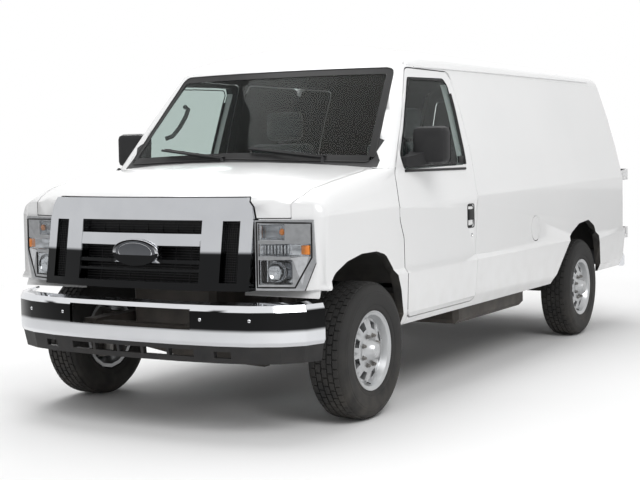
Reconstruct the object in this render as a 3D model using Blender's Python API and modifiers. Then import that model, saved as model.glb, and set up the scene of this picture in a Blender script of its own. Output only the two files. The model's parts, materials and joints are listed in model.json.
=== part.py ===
# Full-size panel van on a ladder frame, built from separate panels, running gear and cab fittings.
# Metres, +Z up. The nose points to -Y, the driver's side is +X, and the wheels stand on Z = 0.
import math

import bmesh
import bpy
import numpy as np
from mathutils import Matrix, Vector

# Overall sizes
LENGTH = 5.504
WHEELBASE = 3.505
FRONT_OVERHANG = 0.838
FRONT_TRACK = 1.763
REAR_TRACK = 1.704
HALF_WIDTH = 1.006
ROOF_Z = 2.085

# Clearances and walls
SEAT_GAP = 0.0003
DOOR_GAP = 0.0068
OVERRUN = 0.3
WALL = 0.045
SKIN = 0.03
DOOR_DRAFT = 0.42

# Lengthwise places
FRONT_Y = -LENGTH / 2
REAR_Y = LENGTH / 2
FRONT_AXLE_Y = FRONT_Y + FRONT_OVERHANG
REAR_AXLE_Y = FRONT_AXLE_Y + WHEELBASE
NOSE_SETBACK = 0.135
TAIL_SETBACK = 0.115
NOSE_Y = FRONT_Y + NOSE_SETBACK
TAIL_Y = REAR_Y - TAIL_SETBACK
NOSE_BOW = 0.20
COWL_Y = -1.775
COWL_BOW = 0.175
HEADER_Y = -1.225
HEADER_BOW = 0.115
B_PILLAR_Y = -0.50
TAIL_LEAN = 0.09
TAIL_CORNER = 0.10

# Heights
SILL_Z = 0.455
ROCKER_Z = 0.52
STEP_Z = 0.745
STEP_RISE = 0.03
BELT_FRONT_Z = 1.095
BELT_REAR_Z = 1.18
BELT_RISE = 0.015
HOOD_FRONT_Z = 1.200
COWL_Z = 1.372
HEADER_Z = 1.935
DRIP_Z = 1.925
ROOF_EDGE_Z = 1.985

# Half widths of the outer skin at those heights
SILL_X = 0.955
ROCKER_X = 0.985
UPPER_X = 0.985
BELT_INSET = 0.004
GLASS_LOW_Z = 1.33
GLASS_LOW_X = 0.952
GLASS_MID_Z = 1.62
GLASS_MID_X = 0.880
DRIP_X = 0.788

# Wheels
TYRE_R = 0.366
TYRE_WIDTH = 0.223
RIM_R = 0.2205
RIM_WIDTH = 0.196
KINGPIN_X = 0.790


FLAT_ANGLES = (0.004, 0.001, 0.0)
WELD = 0.00005

# Scene and mesh helpers

for old in list(bpy.data.objects):
    bpy.data.objects.remove(old)

VAN = bpy.data.collections.new("panel_van")
CUTTERS = bpy.data.collections.new("cutters")
bpy.context.scene.collection.children.link(VAN)
bpy.context.scene.collection.children.link(CUTTERS)


def material(name, colour, roughness, metallic=0.0, alpha=1.0):
    made = bpy.data.materials.new(name)
    made.use_nodes = True
    shader = made.node_tree.nodes["Principled BSDF"]
    shader.inputs["Base Color"].default_value = (*colour, 1.0)
    shader.inputs["Roughness"].default_value = roughness
    shader.inputs["Metallic"].default_value = metallic
    shader.inputs["Alpha"].default_value = alpha
    made.diffuse_color = (*colour, alpha)
    return made


WHITE = material("white_paint", (0.86, 0.86, 0.86), 0.3)
CHROME = material("chrome", (0.75, 0.75, 0.76), 0.12, 1.0)
BLACK = material("black_plastic", (0.03, 0.03, 0.03), 0.6)
STEEL = material("black_steel", (0.06, 0.06, 0.06), 0.5, 0.6)
SILVER = material("wheel_silver", (0.62, 0.62, 0.63), 0.3, 0.8)
RUBBER = material("tyre_rubber", (0.025, 0.025, 0.025), 0.8)
GLASS = material("tinted_glass", (0.12, 0.16, 0.15), 0.05, 0.0, 0.4)
LENS = material("lamp_lens", (0.8, 0.8, 0.82), 0.1, 0.0, 0.6)
RED = material("tail_lens", (0.5, 0.02, 0.02), 0.2)
TRIM = material("grey_trim", (0.16, 0.17, 0.17), 0.7)
CLOTH = material("seat_cloth", (0.14, 0.15, 0.15), 0.9)
ALLOY = material("cast_metal", (0.35, 0.35, 0.36), 0.5, 0.7)


def place(mesh, name, finish, collection=None):
    obj = bpy.data.objects.new(name, mesh)
    (collection or VAN).objects.link(obj)
    if finish:
        mesh.materials.clear()
        mesh.materials.append(finish)
    if collection is CUTTERS:
        obj.hide_render = True
        obj.display_type = "WIRE"
    return obj


def from_bmesh(bm, name, finish=None, collection=None):
    bmesh.ops.recalc_face_normals(bm, faces=bm.faces)
    mesh = bpy.data.meshes.new(name)
    bm.to_mesh(mesh)
    bm.free()
    return place(mesh, name, finish, collection)


def evaluated_mesh(obj):
    graph = bpy.context.evaluated_depsgraph_get()
    mesh = bpy.data.meshes.new_from_object(obj.evaluated_get(graph))
    mesh.transform(obj.matrix_world)
    return mesh


def rebuilt(obj):
    """The object as a plain mesh in place, with its modifiers applied."""
    bpy.context.view_layer.update()
    name, collection, finish = obj.name, obj.users_collection[0], obj.data.materials
    finish = finish[0] if len(finish) else None
    mesh = evaluated_mesh(obj)
    bm = bmesh.new()
    bm.from_mesh(mesh)
    bmesh.ops.remove_doubles(bm, verts=bm.verts, dist=0.00001)
    bm.to_mesh(mesh)
    bm.free()
    bpy.data.objects.remove(obj)
    return place(mesh, name, finish, collection)


# EXACT drops parts of the thin body shell, so the solids, all closed, use the other solver.
SOLVER = "MANIFOLD"


def boolean(target, cutter, operation="DIFFERENCE", keep=False, solver=SOLVER):
    step = target.modifiers.new(operation.lower(), "BOOLEAN")
    step.operation = operation
    step.solver = solver
    step.object = cutter
    done = rebuilt(target)
    if not keep:
        bpy.data.objects.remove(cutter)
    return done


def union(target, *others):
    for other in others:
        target = boolean(target, other, "UNION")
    return target


def duplicate(obj, name):
    mesh = obj.data.copy()
    mesh.name = name
    return place(mesh, name, None, obj.users_collection[0])


def mirrored(obj, name):
    """A copy on the other side of the middle plane."""
    copy = duplicate(obj, name)
    copy.data.transform(Matrix.Scale(-1, 4, Vector((1, 0, 0))))
    copy.data.flip_normals()
    return copy


def pair(name, left):
    """The left piece and its mirror image, named for their sides."""
    left.name = left.data.name = name + "_left"
    return left, mirrored(left, name + "_right")


def place_pair(name, left, pivot):
    """A pair of moving pieces, each with its origin on its own joint axis."""
    x, y, z = pivot
    for obj, side in zip(pair(name, left), (1, -1)):
        moving(obj, (side * x, y, z))


def closed(bm):
    return all(len(edge.link_faces) == 2 for edge in bm.edges)


def tidy(obj):
    """Joins coplanar faces and removes slivers left by cuts, as far as the solid stays closed."""
    for angle in FLAT_ANGLES:
        for method in ("BEAUTY", "EAR_CLIP"):
            bm = bmesh.new()
            bm.from_mesh(obj.data)
            bmesh.ops.remove_doubles(bm, verts=bm.verts, dist=WELD)
            bmesh.ops.dissolve_degenerate(bm, edges=bm.edges, dist=WELD)
            loose = [edge for edge in bm.edges if not edge.link_faces]
            bmesh.ops.delete(bm, geom=loose, context="EDGES")
            if angle:
                bmesh.ops.dissolve_limit(bm, angle_limit=angle, verts=bm.verts, edges=bm.edges)
            bmesh.ops.triangulate(bm, faces=bm.faces, ngon_method=method)
            done = closed(bm)
            if done:
                bm.to_mesh(obj.data)
            bm.free()
            if done:
                return obj
    return obj


def block(name, low, high, finish=None, bevel=0.0, collection=None, bends=1):
    bm = bmesh.new()
    low, high = Vector(low), Vector(high)
    size = Matrix.Diagonal((*(high - low), 1.0))
    bmesh.ops.create_cube(bm, size=1.0, matrix=Matrix.Translation((low + high) / 2) @ size)
    if bevel:
        bmesh.ops.bevel(bm, geom=bm.edges[:], offset=bevel, segments=bends, affect="EDGES", profile=0.5)
    return from_bmesh(bm, name, finish, collection)


def rod(name, start, end, radius, finish=None, sides=16, end_radius=None, collection=None):
    """A round bar or cone between two points."""
    start, end = Vector(start), Vector(end)
    axis = end - start
    turn = axis.to_track_quat("Z", "Y").to_matrix().to_4x4()
    bm = bmesh.new()
    bmesh.ops.create_cone(
        bm,
        cap_ends=True,
        segments=sides,
        radius1=radius,
        radius2=radius if end_radius is None else end_radius,
        depth=axis.length,
        matrix=Matrix.Translation((start + end) / 2) @ turn,
    )
    return from_bmesh(bm, name, finish, collection)


def tube(name, points, radius, finish=None, sides=2, collection=None):
    """A bent bar along a smooth line, as a mesh with welded caps."""
    curve = bpy.data.curves.new(name, "CURVE")
    curve.dimensions = "3D"
    curve.bevel_depth = radius
    curve.bevel_resolution = sides
    curve.use_fill_caps = True
    line = curve.splines.new("POLY")
    line.points.add(len(points) - 1)
    for knot, point in zip(line.points, points):
        knot.co = (*point, 1.0)
    obj = bpy.data.objects.new(name, curve)
    (collection or VAN).objects.link(obj)
    curve.materials.append(finish)
    made = rebuilt(obj)
    bm = bmesh.new()
    bm.from_mesh(made.data)
    bmesh.ops.recalc_face_normals(bm, faces=bm.faces)
    bm.to_mesh(made.data)
    bm.free()
    return made


def smooth_line(points, count):
    """Points on a smooth curve through the given ones."""
    points = [Vector(p) for p in points]
    ends = [points[0] * 2 - points[1], *points, points[-1] * 2 - points[-2]]
    spans = len(points) - 1
    found = []
    for step in range(count):
        at = step / (count - 1) * spans
        k = min(int(at), spans - 1)
        t = at - k
        p0, p1, p2, p3 = ends[k : k + 4]
        found.append(
            0.5
            * (
                2 * p1
                + (p2 - p0) * t
                + (2 * p0 - 5 * p1 + 4 * p2 - p3) * t**2
                + (3 * p1 - p0 - 3 * p2 + p3) * t**3
            )
        )
    return found


def rounded(corners, radius, steps=3):
    """A closed outline of 2D corners with each corner rounded. A corner may carry its own radius as a third value."""
    found = []
    count = len(corners)
    for k, corner in enumerate(corners):
        here = Vector(corner[:2])
        bend = corner[2] if len(corner) > 2 else radius
        back = Vector(corners[k - 1][:2]) - here
        ahead = Vector(corners[(k + 1) % count][:2]) - here
        if bend <= 0:
            found.append(tuple(here))
            continue
        cut = min(
            bend / math.tan(max(back.angle(ahead), 0.2) / 2), back.length * 0.45, ahead.length * 0.45
        )
        a, b = here + back.normalized() * cut, here + ahead.normalized() * cut
        for step in range(steps + 1):
            t = step / steps
            found.append(tuple(a * (1 - t) ** 2 + here * 2 * t * (1 - t) + b * t**2))
    return found


def offset(corners, distance):
    """The outline of 2D corners moved inwards by a distance, each side parallel to itself."""
    area = sum(
        a[0] * b[1] - b[0] * a[1] for a, b in zip(corners, [*corners[1:], corners[0]])
    )
    sign = 1.0 if area > 0 else -1.0
    found = []
    count = len(corners)
    for k, corner in enumerate(corners):
        here = Vector(corner[:2])
        before = (here - Vector(corners[k - 1][:2])).normalized()
        after = (Vector(corners[(k + 1) % count][:2]) - here).normalized()
        n1 = Vector((-before.y, before.x)) * sign
        n2 = Vector((-after.y, after.x)) * sign
        shift = (n1 + n2) * (distance / max(1.0 + n1.dot(n2), 0.2))
        found.append((here.x + shift.x, here.y + shift.y, *corner[2:]))
    return found


AXIS_POINT = {
    "x": lambda along, a, b: (along, a, b),
    "y": lambda along, a, b: (a, along, b),
    "z": lambda along, a, b: (a, b, along),
}


def loft(name, rings, finish=None, collection=None, closed_ring=False):
    """A solid through rings of equal point counts. Ends are capped, or the last ring meets the first."""
    bm = bmesh.new()
    made = [[bm.verts.new(p) for p in ring] for ring in rings]
    pairs = list(zip(made, made[1:]))
    if closed_ring:
        pairs.append((made[-1], made[0]))
    else:
        caps = [bm.faces.new(made[0]), bm.faces.new(made[-1])]
        bmesh.ops.triangulate(bm, faces=caps)
    for one, two in pairs:
        for k in range(len(one)):
            n = (k + 1) % len(one)
            bm.faces.new((one[k], one[n], two[n], two[k]))
    return from_bmesh(bm, name, finish, collection)


def prism(name, outline, axis, low, high, far_outline=None, finish=None, collection=None):
    """A flat outline pulled along an axis, to its own shape or to a second one of as many points."""
    lift = AXIS_POINT[axis]
    near = [lift(low, *p) for p in outline]
    far = [lift(high, *p) for p in (far_outline or outline)]
    return loft(name, [near, far], finish, collection)


def turned(name, profile, axis_point, finish=None, steps=40):
    """A profile of (radius, place along X) turned about a line along X through axis_point."""
    mesh = bpy.data.meshes.new(name)
    points = [(along, 0.0, radius) for radius, along in profile]
    edges = [(k, k + 1) for k in range(len(points) - 1)]
    mesh.from_pydata(points, edges, [])
    obj = place(mesh, name, finish)
    obj.location = axis_point
    screw = obj.modifiers.new("turn", "SCREW")
    screw.axis = "X"
    screw.steps = screw.render_steps = steps
    screw.use_merge_vertices = True
    screw.merge_threshold = 0.0001
    made = rebuilt(obj)
    bm = bmesh.new()
    bm.from_mesh(made.data)
    bmesh.ops.remove_doubles(bm, verts=bm.verts, dist=0.0001)
    bmesh.ops.recalc_face_normals(bm, faces=bm.faces)
    bm.to_mesh(made.data)
    bm.free()
    return made


def bowed(obj, bow, cuts):
    """Cuts an object across at the given X places and then moves each point along Y by bow(x)."""
    bm = bmesh.new()
    bm.from_mesh(obj.data)
    for cut in cuts:
        for place_x in (cut, -cut):
            bmesh.ops.bisect_plane(
                bm,
                geom=bm.verts[:] + bm.edges[:] + bm.faces[:],
                dist=0.00001,
                plane_co=(place_x, 0, 0),
                plane_no=(1, 0, 0),
            )
    for vert in bm.verts:
        vert.co.y += bow(vert.co.x)
    bm.to_mesh(obj.data)
    bm.free()
    return obj


# The body's outer form, from which every panel is cut


def belt_z(y):
    """Height of the crease along the side, which rises to the rear."""
    share = min(max((y - NOSE_Y) / (TAIL_Y - NOSE_Y), 0.0), 1.0)
    return BELT_FRONT_Z + (BELT_REAR_Z - BELT_FRONT_Z) * share


def side_x(z, y):
    """Half width of the outer skin at a height."""
    belt = belt_z(y)
    heights = (
        SILL_Z, ROCKER_Z, STEP_Z, STEP_Z + STEP_RISE, belt, belt + BELT_RISE,
        GLASS_LOW_Z, GLASS_MID_Z, DRIP_Z,
    )
    widths = (
        SILL_X, ROCKER_X, HALF_WIDTH, UPPER_X, UPPER_X, UPPER_X - BELT_INSET,
        GLASS_LOW_X, GLASS_MID_X, DRIP_X,
    )
    slope = (DRIP_X - GLASS_MID_X) / (DRIP_Z - GLASS_MID_Z)
    if z > DRIP_Z:
        return DRIP_X + slope * (z - DRIP_Z)
    return float(np.interp(z, heights, widths))


def nose_bow(x):
    """How far the nose falls back from its middle at a place across."""
    return NOSE_BOW * (abs(x) / UPPER_X) ** 2.4


def between(low, high, share):
    return low + (high - low) * share


# Stations: middle Y, how far the side falls back, middle height, shoulder height, shoulder rounding
SHOULDER_FRONT_Z = 1.150
SHOULDER_COWL_Z = 1.325
SHOULDER_ROUND = 0.050
HOOD_ROUND = 0.110
PILLAR_ROUND = 0.030
ROOF_ROUND = 0.060
HOOD_SHARES = (0.0, 0.05, 0.16, 0.34, 0.56, 0.78)
HOOD_RISE_SHARES = (0.0, 0.16, 0.40, 0.62, 0.80, 0.92)
SCREEN_SHARES = (0.0, 0.25, 0.5, 0.75, 1.0)
ROOF_SHARES = (0.10, 0.30, 0.55, 1.0)
ROOF_RISE_SHARES = (0.55, 0.80, 0.95, 1.0)


def stations():
    rows = []
    for share, rise in zip(HOOD_SHARES, HOOD_RISE_SHARES):
        rows.append((
            between(NOSE_Y, COWL_Y, share),
            between(NOSE_BOW, COWL_BOW, share),
            between(HOOD_FRONT_Z, COWL_Z, rise),
            between(SHOULDER_FRONT_Z, SHOULDER_COWL_Z, rise),
            between(SHOULDER_ROUND, HOOD_ROUND, min(1.0, share * 4)),
        ))
    for share in SCREEN_SHARES:
        rows.append((
            between(COWL_Y, HEADER_Y, share),
            between(COWL_BOW, HEADER_BOW, share),
            between(COWL_Z, HEADER_Z, share),
            between(SHOULDER_COWL_Z, DRIP_Z, share),
            PILLAR_ROUND,
        ))
    for share, rise in zip(ROOF_SHARES, ROOF_RISE_SHARES):
        rows.append((
            between(HEADER_Y, B_PILLAR_Y, share),
            HEADER_BOW * (1 - share),
            between(HEADER_Z, ROOF_Z, rise),
            between(DRIP_Z, ROOF_EDGE_Z, min(1.0, rise * 1.05)),
            between(PILLAR_ROUND, ROOF_ROUND, rise),
        ))
    return rows


def tail_inset(y, corner):
    """How far the skin turns in near the tail, round a corner of the given radius."""
    into = min(max((y - (TAIL_Y - corner)) / corner, 0.0), 1.0)
    return corner * (1 - math.sqrt(max(0.0, 1 - into * into)))


LEVEL_STEP = 0.006
TAIL_ROUND_SHARES = (0.0, 0.35, 0.65, 0.86, 1.0)
SIDE_RISE_SHARES = (0.33, 0.66, 1.0)
CORNER_SHARES = (0.25, 0.5, 0.75, 1.0)
TOP_SHARES = (0.8, 0.55, 0.28)
SIDE_COUNT = 6 + len(SIDE_RISE_SHARES)


def half_section(row, side_inset, top_inset, bottom_z, tail_turn=0.0):
    """Points of one side of a body section, from the bottom edge up to the middle of the top."""
    middle_y, fall, middle_z, shoulder_z, bend = row
    middle_z -= top_inset + tail_turn
    shoulder_z -= top_inset + tail_turn
    side_y = middle_y + fall
    belt = belt_z(side_y)
    start_z = shoulder_z - bend
    points = []

    def width(z):
        return side_x(z + top_inset * 0.5, side_y) - side_inset - tail_turn

    levels = (bottom_z, ROCKER_Z, STEP_Z, STEP_Z + STEP_RISE, belt, belt + BELT_RISE)
    for k, level in enumerate(levels):
        level = min(level, start_z - LEVEL_STEP * (len(levels) - k))
        points.append((width(max(level, SILL_Z)), level))
    low = points[-1][1]
    for share in SIDE_RISE_SHARES:
        z = between(low, start_z, share)
        points.append((width(z), z))
    corner_x = width(shoulder_z)

    def top(x):
        return middle_z - (middle_z - shoulder_z) * (x / corner_x) ** 2.2

    begin, finish_x = Vector(points[-1]), corner_x - bend
    end = Vector((finish_x, top(finish_x)))
    peak = Vector((corner_x, shoulder_z))
    for t in CORNER_SHARES:
        spot = begin * (1 - t) ** 2 + peak * 2 * t * (1 - t) + end * t**2
        points.append(tuple(spot))
    for share in TOP_SHARES:
        points.append((finish_x * share, top(finish_x * share)))
    points.append((0.0, middle_z))
    reach = corner_x
    found = []
    for x, z in points:
        lean = TAIL_LEAN * max(0.0, (z - BELT_REAR_Z) / (ROOF_Z - BELT_REAR_Z)) ** 1.6
        lean *= max(0.0, middle_y - B_PILLAR_Y) / (TAIL_Y - B_PILLAR_Y)
        y = middle_y + fall * min(1.0, (x / reach)) ** 2.2 - lean
        found.append((x, y, z))
    return found


def nose_cap(bm, right, left, side_count):
    """Closes the nose with faces that keep its bow between the two sides."""
    front_y, side_y = right[-1].co.y, right[0].co.y
    reach = right[side_count + len(CORNER_SHARES) - 1].co
    spread = (reach.x / ((reach.y - front_y) / (side_y - front_y)) ** (1 / 2.2))
    tops = right[side_count + len(CORNER_SHARES) - 1 :]
    tops = tops + [left[right.index(vert)] for vert in tops[-2::-1]]
    rows = []
    for k in range(side_count):
        level = right[k].co.z
        row = [
            bm.verts.new((top.co.x, between(front_y, side_y, (abs(top.co.x) / spread) ** 2.2), level)) for top in tops
        ]
        rows.append([right[k], *row, left[k]])
    for low, high in zip(rows, rows[1:]):
        for k in range(len(low) - 1):
            bm.faces.new((low[k], low[k + 1], high[k + 1], high[k]))
    for k in range(len(tops) - 1):
        bm.faces.new((rows[-1][k + 1], rows[-1][k + 2], tops[k + 1], tops[k]))
    for side, inner in ((right, rows[-1][1]), (left, rows[-1][-2])):
        arc = side[side_count - 1 : side_count + len(CORNER_SHARES)]
        for one, two in zip(arc, arc[1:]):
            bm.faces.new((inner, one, two))
    return rows[0]


def hull(name, side_inset, top_inset, end_inset, bottom_z):
    """The closed outer form, or the inner one when inset."""
    rows = stations()
    first = rows[0]
    rows[0] = (first[0] + end_inset, *first[1:])
    if end_inset:
        rows[1] = (max(rows[1][0], rows[0][0] + end_inset), *rows[1][1:])
    corner = TAIL_CORNER
    rear = TAIL_Y - end_inset
    last = rows[-1]
    turns = [0.0] * len(rows)
    for share in TAIL_ROUND_SHARES:
        y = rear - corner + corner * share
        rows.append((y, 0.0, *last[2:]))
        turns.append(corner * (1 - math.sqrt(1 - share * share)) if share < 1 else corner * 0.62)
    bm = bmesh.new()
    rings = []
    for row, turn in zip(rows, turns):
        half = half_section(row, side_inset, top_inset, bottom_z, turn)
        right = [bm.verts.new(p) for p in half]
        left = [bm.verts.new((-x, y, z)) for x, y, z in half[:-1]]
        rings.append((right, left))
    count = len(rings[0][0])
    for (right_a, left_a), (right_b, left_b) in zip(rings, rings[1:]):
        ring_a, ring_b = right_a + left_a[::-1], right_b + left_b[::-1]
        for k in range(len(ring_a) - 1):
            bm.faces.new((ring_a[k], ring_a[k + 1], ring_b[k + 1], ring_b[k]))
        if right_a is not rings[0][0]:
            bm.faces.new((ring_a[-1], ring_a[0], ring_b[0], ring_b[-1]))
    bottom = nose_cap(bm, *rings[0], SIDE_COUNT)
    second = [rings[1][0][0], rings[1][1][0]]
    floor = bm.faces.new((*bottom, second[1], second[0]))
    bmesh.ops.triangulate(bm, faces=[floor])
    right, left = rings[-1]
    for k in range(count - 2):
        bm.faces.new((right[k], right[k + 1], left[k + 1], left[k]))
    bm.faces.new((right[count - 2], right[count - 1], left[count - 2]))
    return from_bmesh(bm, name, WHITE, CUTTERS)


OUTER = hull("outer_form", 0.0, 0.0, 0.0, SILL_Z)
INNER = hull("inner_form", WALL, SKIN, WALL, SILL_Z - OVERRUN)
SHELL = boolean(duplicate(OUTER, "shell"), INNER, keep=True)


def panel(name, region, finish=WHITE, source=None):
    """The part of the shell inside a region."""
    piece = duplicate(source or SHELL, name)
    piece = boolean(piece, region, "INTERSECT")
    return shown(piece, finish)


def shown(piece, finish):
    """Moves a form from the cutters into the van."""
    CUTTERS.objects.unlink(piece)
    VAN.objects.link(piece)
    piece.hide_render = False
    piece.display_type = "TEXTURED"
    piece.data.materials.clear()
    piece.data.materials.append(finish)
    return piece


def cut(piece, *cutters):
    for cutter in cutters:
        piece = boolean(piece, cutter)
    return piece


# Outlines that the panels share

SILL_HEIGHT = 0.04
DOOR_LOW_Z = SILL_Z + SILL_HEIGHT
DOOR_TOP_Z = DRIP_Z - 0.022
DOOR_CORNER = 0.05
REAR_DOOR_CORNER = 0.04
PLUG_OUT = 0.06
CORNER_STEPS = 2
PLUG_IN = 0.14
DOOR_FRONT_Y = -1.582
DOOR_JOG_Z = 1.040
FRONT_DOOR = [
    (-1.495, DOOR_LOW_Z), (-1.528, STEP_Z), (-1.535, 0.940), (DOOR_FRONT_Y, DOOR_JOG_Z), (DOOR_FRONT_Y, 1.300),
    (-1.115, DOOR_TOP_Z), (B_PILLAR_Y, DOOR_TOP_Z), (-0.487, 1.45), (B_PILLAR_Y, BELT_FRONT_Z),
    (-0.555, STEP_Z), (-0.550, DOOR_LOW_Z),
]
WINDOW = [
    (-1.470, 1.315), (-1.478, 1.40), (-1.125, 1.850), (-0.620, 1.862), (-0.575, 1.82),
    (-0.610, 1.330),
]
SIDE_DOOR_FRONT_Y = -0.430
SIDE_DOOR_SPLIT_Y = 0.290
SIDE_DOOR_REAR_Y = 0.790
SIDE_DOOR = [
    (SIDE_DOOR_FRONT_Y, DOOR_LOW_Z), (SIDE_DOOR_FRONT_Y, DOOR_TOP_Z),
    (SIDE_DOOR_REAR_Y, DOOR_TOP_Z), (SIDE_DOOR_REAR_Y, DOOR_LOW_Z),
]
REAR_DOOR_LOW_Z = 0.560
REAR_DOOR_TOP_Z = 1.870
REAR_DOOR = [
    (-0.15, REAR_DOOR_LOW_Z), (0.850, REAR_DOOR_LOW_Z), (0.858, BELT_REAR_Z),
    (0.700, REAR_DOOR_TOP_Z), (-0.15, REAR_DOOR_TOP_Z),
]
FRONT_ARCH = [
    (-0.530, 0.300), (-0.500, 0.715), (-0.410, 0.812), (-0.280, 0.862), (-0.120, 0.890),
    (0.044, 0.890), (0.150, 0.866), (0.235, 0.785), (0.310, 0.660), (0.360, 0.520), (0.385, 0.300),
]
REAR_ARCH = [
    (-0.780, 0.300), (-0.690, 0.476), (-0.428, 0.732), (-0.317, 0.802), (-0.150, 0.860),
    (0.073, 0.877), (0.212, 0.824), (0.300, 0.690), (0.375, 0.500), (0.400, 0.300),
]
SIDE_CUT_X = 0.600
SIDE_FRONT_Y = -1.64
ARCH_ROUND = 0.06
SIDE_OUT_X = HALF_WIDTH + 0.1


def edges_of(outline):
    return list(zip(outline, [*outline[1:], outline[0]]))


def break_shares(start_z, end_z):
    """Shares along an edge where it crosses a height at which the side changes its slope."""
    levels = (STEP_Z, STEP_Z + STEP_RISE, BELT_FRONT_Z, BELT_REAR_Z, GLASS_LOW_Z, GLASS_MID_Z)
    crossed = [z for z in levels if min(start_z, end_z) < z < max(start_z, end_z)]
    return [0.0, *sorted((z - start_z) / (end_z - start_z) for z in crossed)]


def draft_plug(name, corners, grow, radius, spot):
    """A plug through the skin that has the given outline at the skin and narrows inwards."""
    rings = []
    breaks = [break_shares(a[1], b[1]) for a, b in edges_of(rounded(corners, radius, CORNER_STEPS))]
    for depth, flat in ((-PLUG_OUT, True), (-PLUG_OUT, False), (PLUG_IN, False), (PLUG_IN, True)):
        shape = rounded(offset(corners, depth * DOOR_DRAFT - grow), radius, CORNER_STEPS)
        shape = [
            Vector(a).lerp(Vector(b), share)
            for (a, b), shares in zip(edges_of(shape), breaks) for share in shares
        ]
        rings.append([spot(*point, depth, flat) for point in shape])
    return loft(name, rings, collection=CUTTERS)


def side_cutter(name, corners, side, grow):
    def spot(y, z, depth, flat):
        if flat:
            return (side * (SIDE_OUT_X if depth < 0 else SIDE_CUT_X), y, z)
        return (side * (side_x(z, y) - depth), y, z)

    return draft_plug(name, corners, grow, DOOR_CORNER, spot)


def arch_cutter(name, corners, axle_y, grow=0.0, low_x=SIDE_CUT_X, high_x=SIDE_OUT_X):
    shape = offset([(axle_y + y, z) for y, z in corners], -grow)
    return prism(name, rounded(shape, ARCH_ROUND, 1), "x", low_x, high_x, collection=CUTTERS)


def moving(obj, pivot):
    """Puts the origin of a moving piece on its joint axis."""
    pivot = Vector(pivot)
    obj.data.transform(Matrix.Translation(-pivot))
    obj.location = pivot
    return obj


# Regions that split the shell into panels

HOOD_SEAM = [(0.80, -2.55), (0.845, -2.40), (0.872, -2.20), (0.880, -2.00), (0.872, -1.80)]
HOOD_REAR_SHARES = (1.0, 0.8, 0.55, 0.3, 0.0)
HOOD_CORNER_X = 0.864
COWL_STRIP = 0.035
HOOD_LOW_Z = 1.096
HOOD_GAP = 0.005
SCREEN = [(-0.846, 1.357), (0.0, 1.384), (0.846, 1.357), (0.742, 1.908), (-0.742, 1.908)]
SCREEN_CORNER = 0.05
SCREEN_GLASS = 0.008
COWL_BLOCK = ((-0.870, -1.90, 1.330), (0.870, -1.50, 1.50))
ROOF_SPLIT_X = 0.70
ROOF_SPLIT_Z = 1.883
FENDER = [
    (-2.80, 0.735), (-2.80, 1.325), (-1.40, 1.325), (-1.40, 0.60), (-1.50, 0.47), (-1.50, 0.40),
    (-1.80, 0.40), (-1.80, 0.735),
]
FENDER_INNER_X = 0.668
GRILLE = [(-0.6557, 0.735), (0.6557, 0.735), (0.6557, 1.080), (0.645, 1.150), (0.612, 1.198), (-0.612, 1.198), (-0.645, 1.150), (-0.6557, 1.080)]
LAMP = [(0.656, 0.735), (0.656, 1.086), (0.932, 1.086), (0.942, 0.870), (0.890, 0.735)]
FAR = 0.5
NOSE_CUTS = (0.18, 0.36, 0.52, 0.645, 0.74, 0.82, 0.88, 0.92)


def cowl_line(x):
    return COWL_Y + COWL_BOW * (abs(x) / UPPER_X) ** 2.2


def cowl_top(x):
    """Height of the body at the foot of the windshield."""
    return COWL_Z - (COWL_Z - SHOULDER_COWL_Z) * (abs(x) / UPPER_X) ** 2.2


def hood_region(grow):
    rear = [
        (HOOD_CORNER_X * share, cowl_line(HOOD_CORNER_X * share) - COWL_STRIP) for share in HOOD_REAR_SHARES
    ]
    half = [(HOOD_SEAM[0][0], NOSE_Y - FAR), *HOOD_SEAM, *rear]
    outline = half + [(-x, y) for x, y in reversed(half[:-1])]
    if grow:
        outline = offset(outline, -grow)
    return prism("hood_region", outline, "z", HOOD_LOW_Z - grow, ROOF_Z, collection=CUTTERS)


def screen_region(grow):
    outline = rounded(offset(SCREEN, -grow), SCREEN_CORNER)
    return prism("screen_region", outline, "y", -2.0, -0.95, collection=CUTTERS)


def cowl_region(grow):
    low, high = COWL_BLOCK
    return block(
        "cowl_region", [v - grow for v in low], [v + grow for v in high], collection=CUTTERS
    )


def roof_region(drop):
    outline = [
        (-ROOF_SPLIT_X, ROOF_SPLIT_Z), (ROOF_SPLIT_X, ROOF_SPLIT_Z), (ROOF_SPLIT_X, DRIP_Z),
        (HALF_WIDTH + FAR, DRIP_Z), (HALF_WIDTH + FAR, ROOF_Z + FAR),
        (-HALF_WIDTH - FAR, ROOF_Z + FAR), (-HALF_WIDTH - FAR, DRIP_Z), (-ROOF_SPLIT_X, DRIP_Z),
    ]
    return prism(
        "roof_region", offset(outline, -drop), "y", -2.0, REAR_Y + FAR, collection=CUTTERS
    )


def fender_region(grow):
    low = FENDER_INNER_X - grow
    return prism("fender_region", offset(FENDER, -grow), "x", low, SIDE_OUT_X, collection=CUTTERS)


def nose_region(name, outline, grow, front, back, lean=0.0):
    """A plug along Y that follows the bow of the nose."""
    made = prism(name, offset(outline, -grow), "y", front, back, collection=CUTTERS)
    made = bowed(made, nose_bow, NOSE_CUTS)
    for vert in made.data.vertices:
        vert.co.y += lean * (vert.co.z - GRILLE[0][1])
    return made


def tail_y(z):
    """Place along Y of the rear face at a height."""
    return TAIL_Y - TAIL_LEAN * max(0.0, (z - BELT_REAR_Z) / (ROOF_Z - BELT_REAR_Z)) ** 1.6


def rear_door_cutter(grow):
    def spot(x, z, depth, flat):
        if flat:
            return (x, REAR_Y + FAR if depth < 0 else TAIL_Y - FAR, z)
        return (x, tail_y(z) - depth, z)

    return draft_plug("rear_door_plug", REAR_DOOR, grow, REAR_DOOR_CORNER, spot)


# Panels of the body


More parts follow.
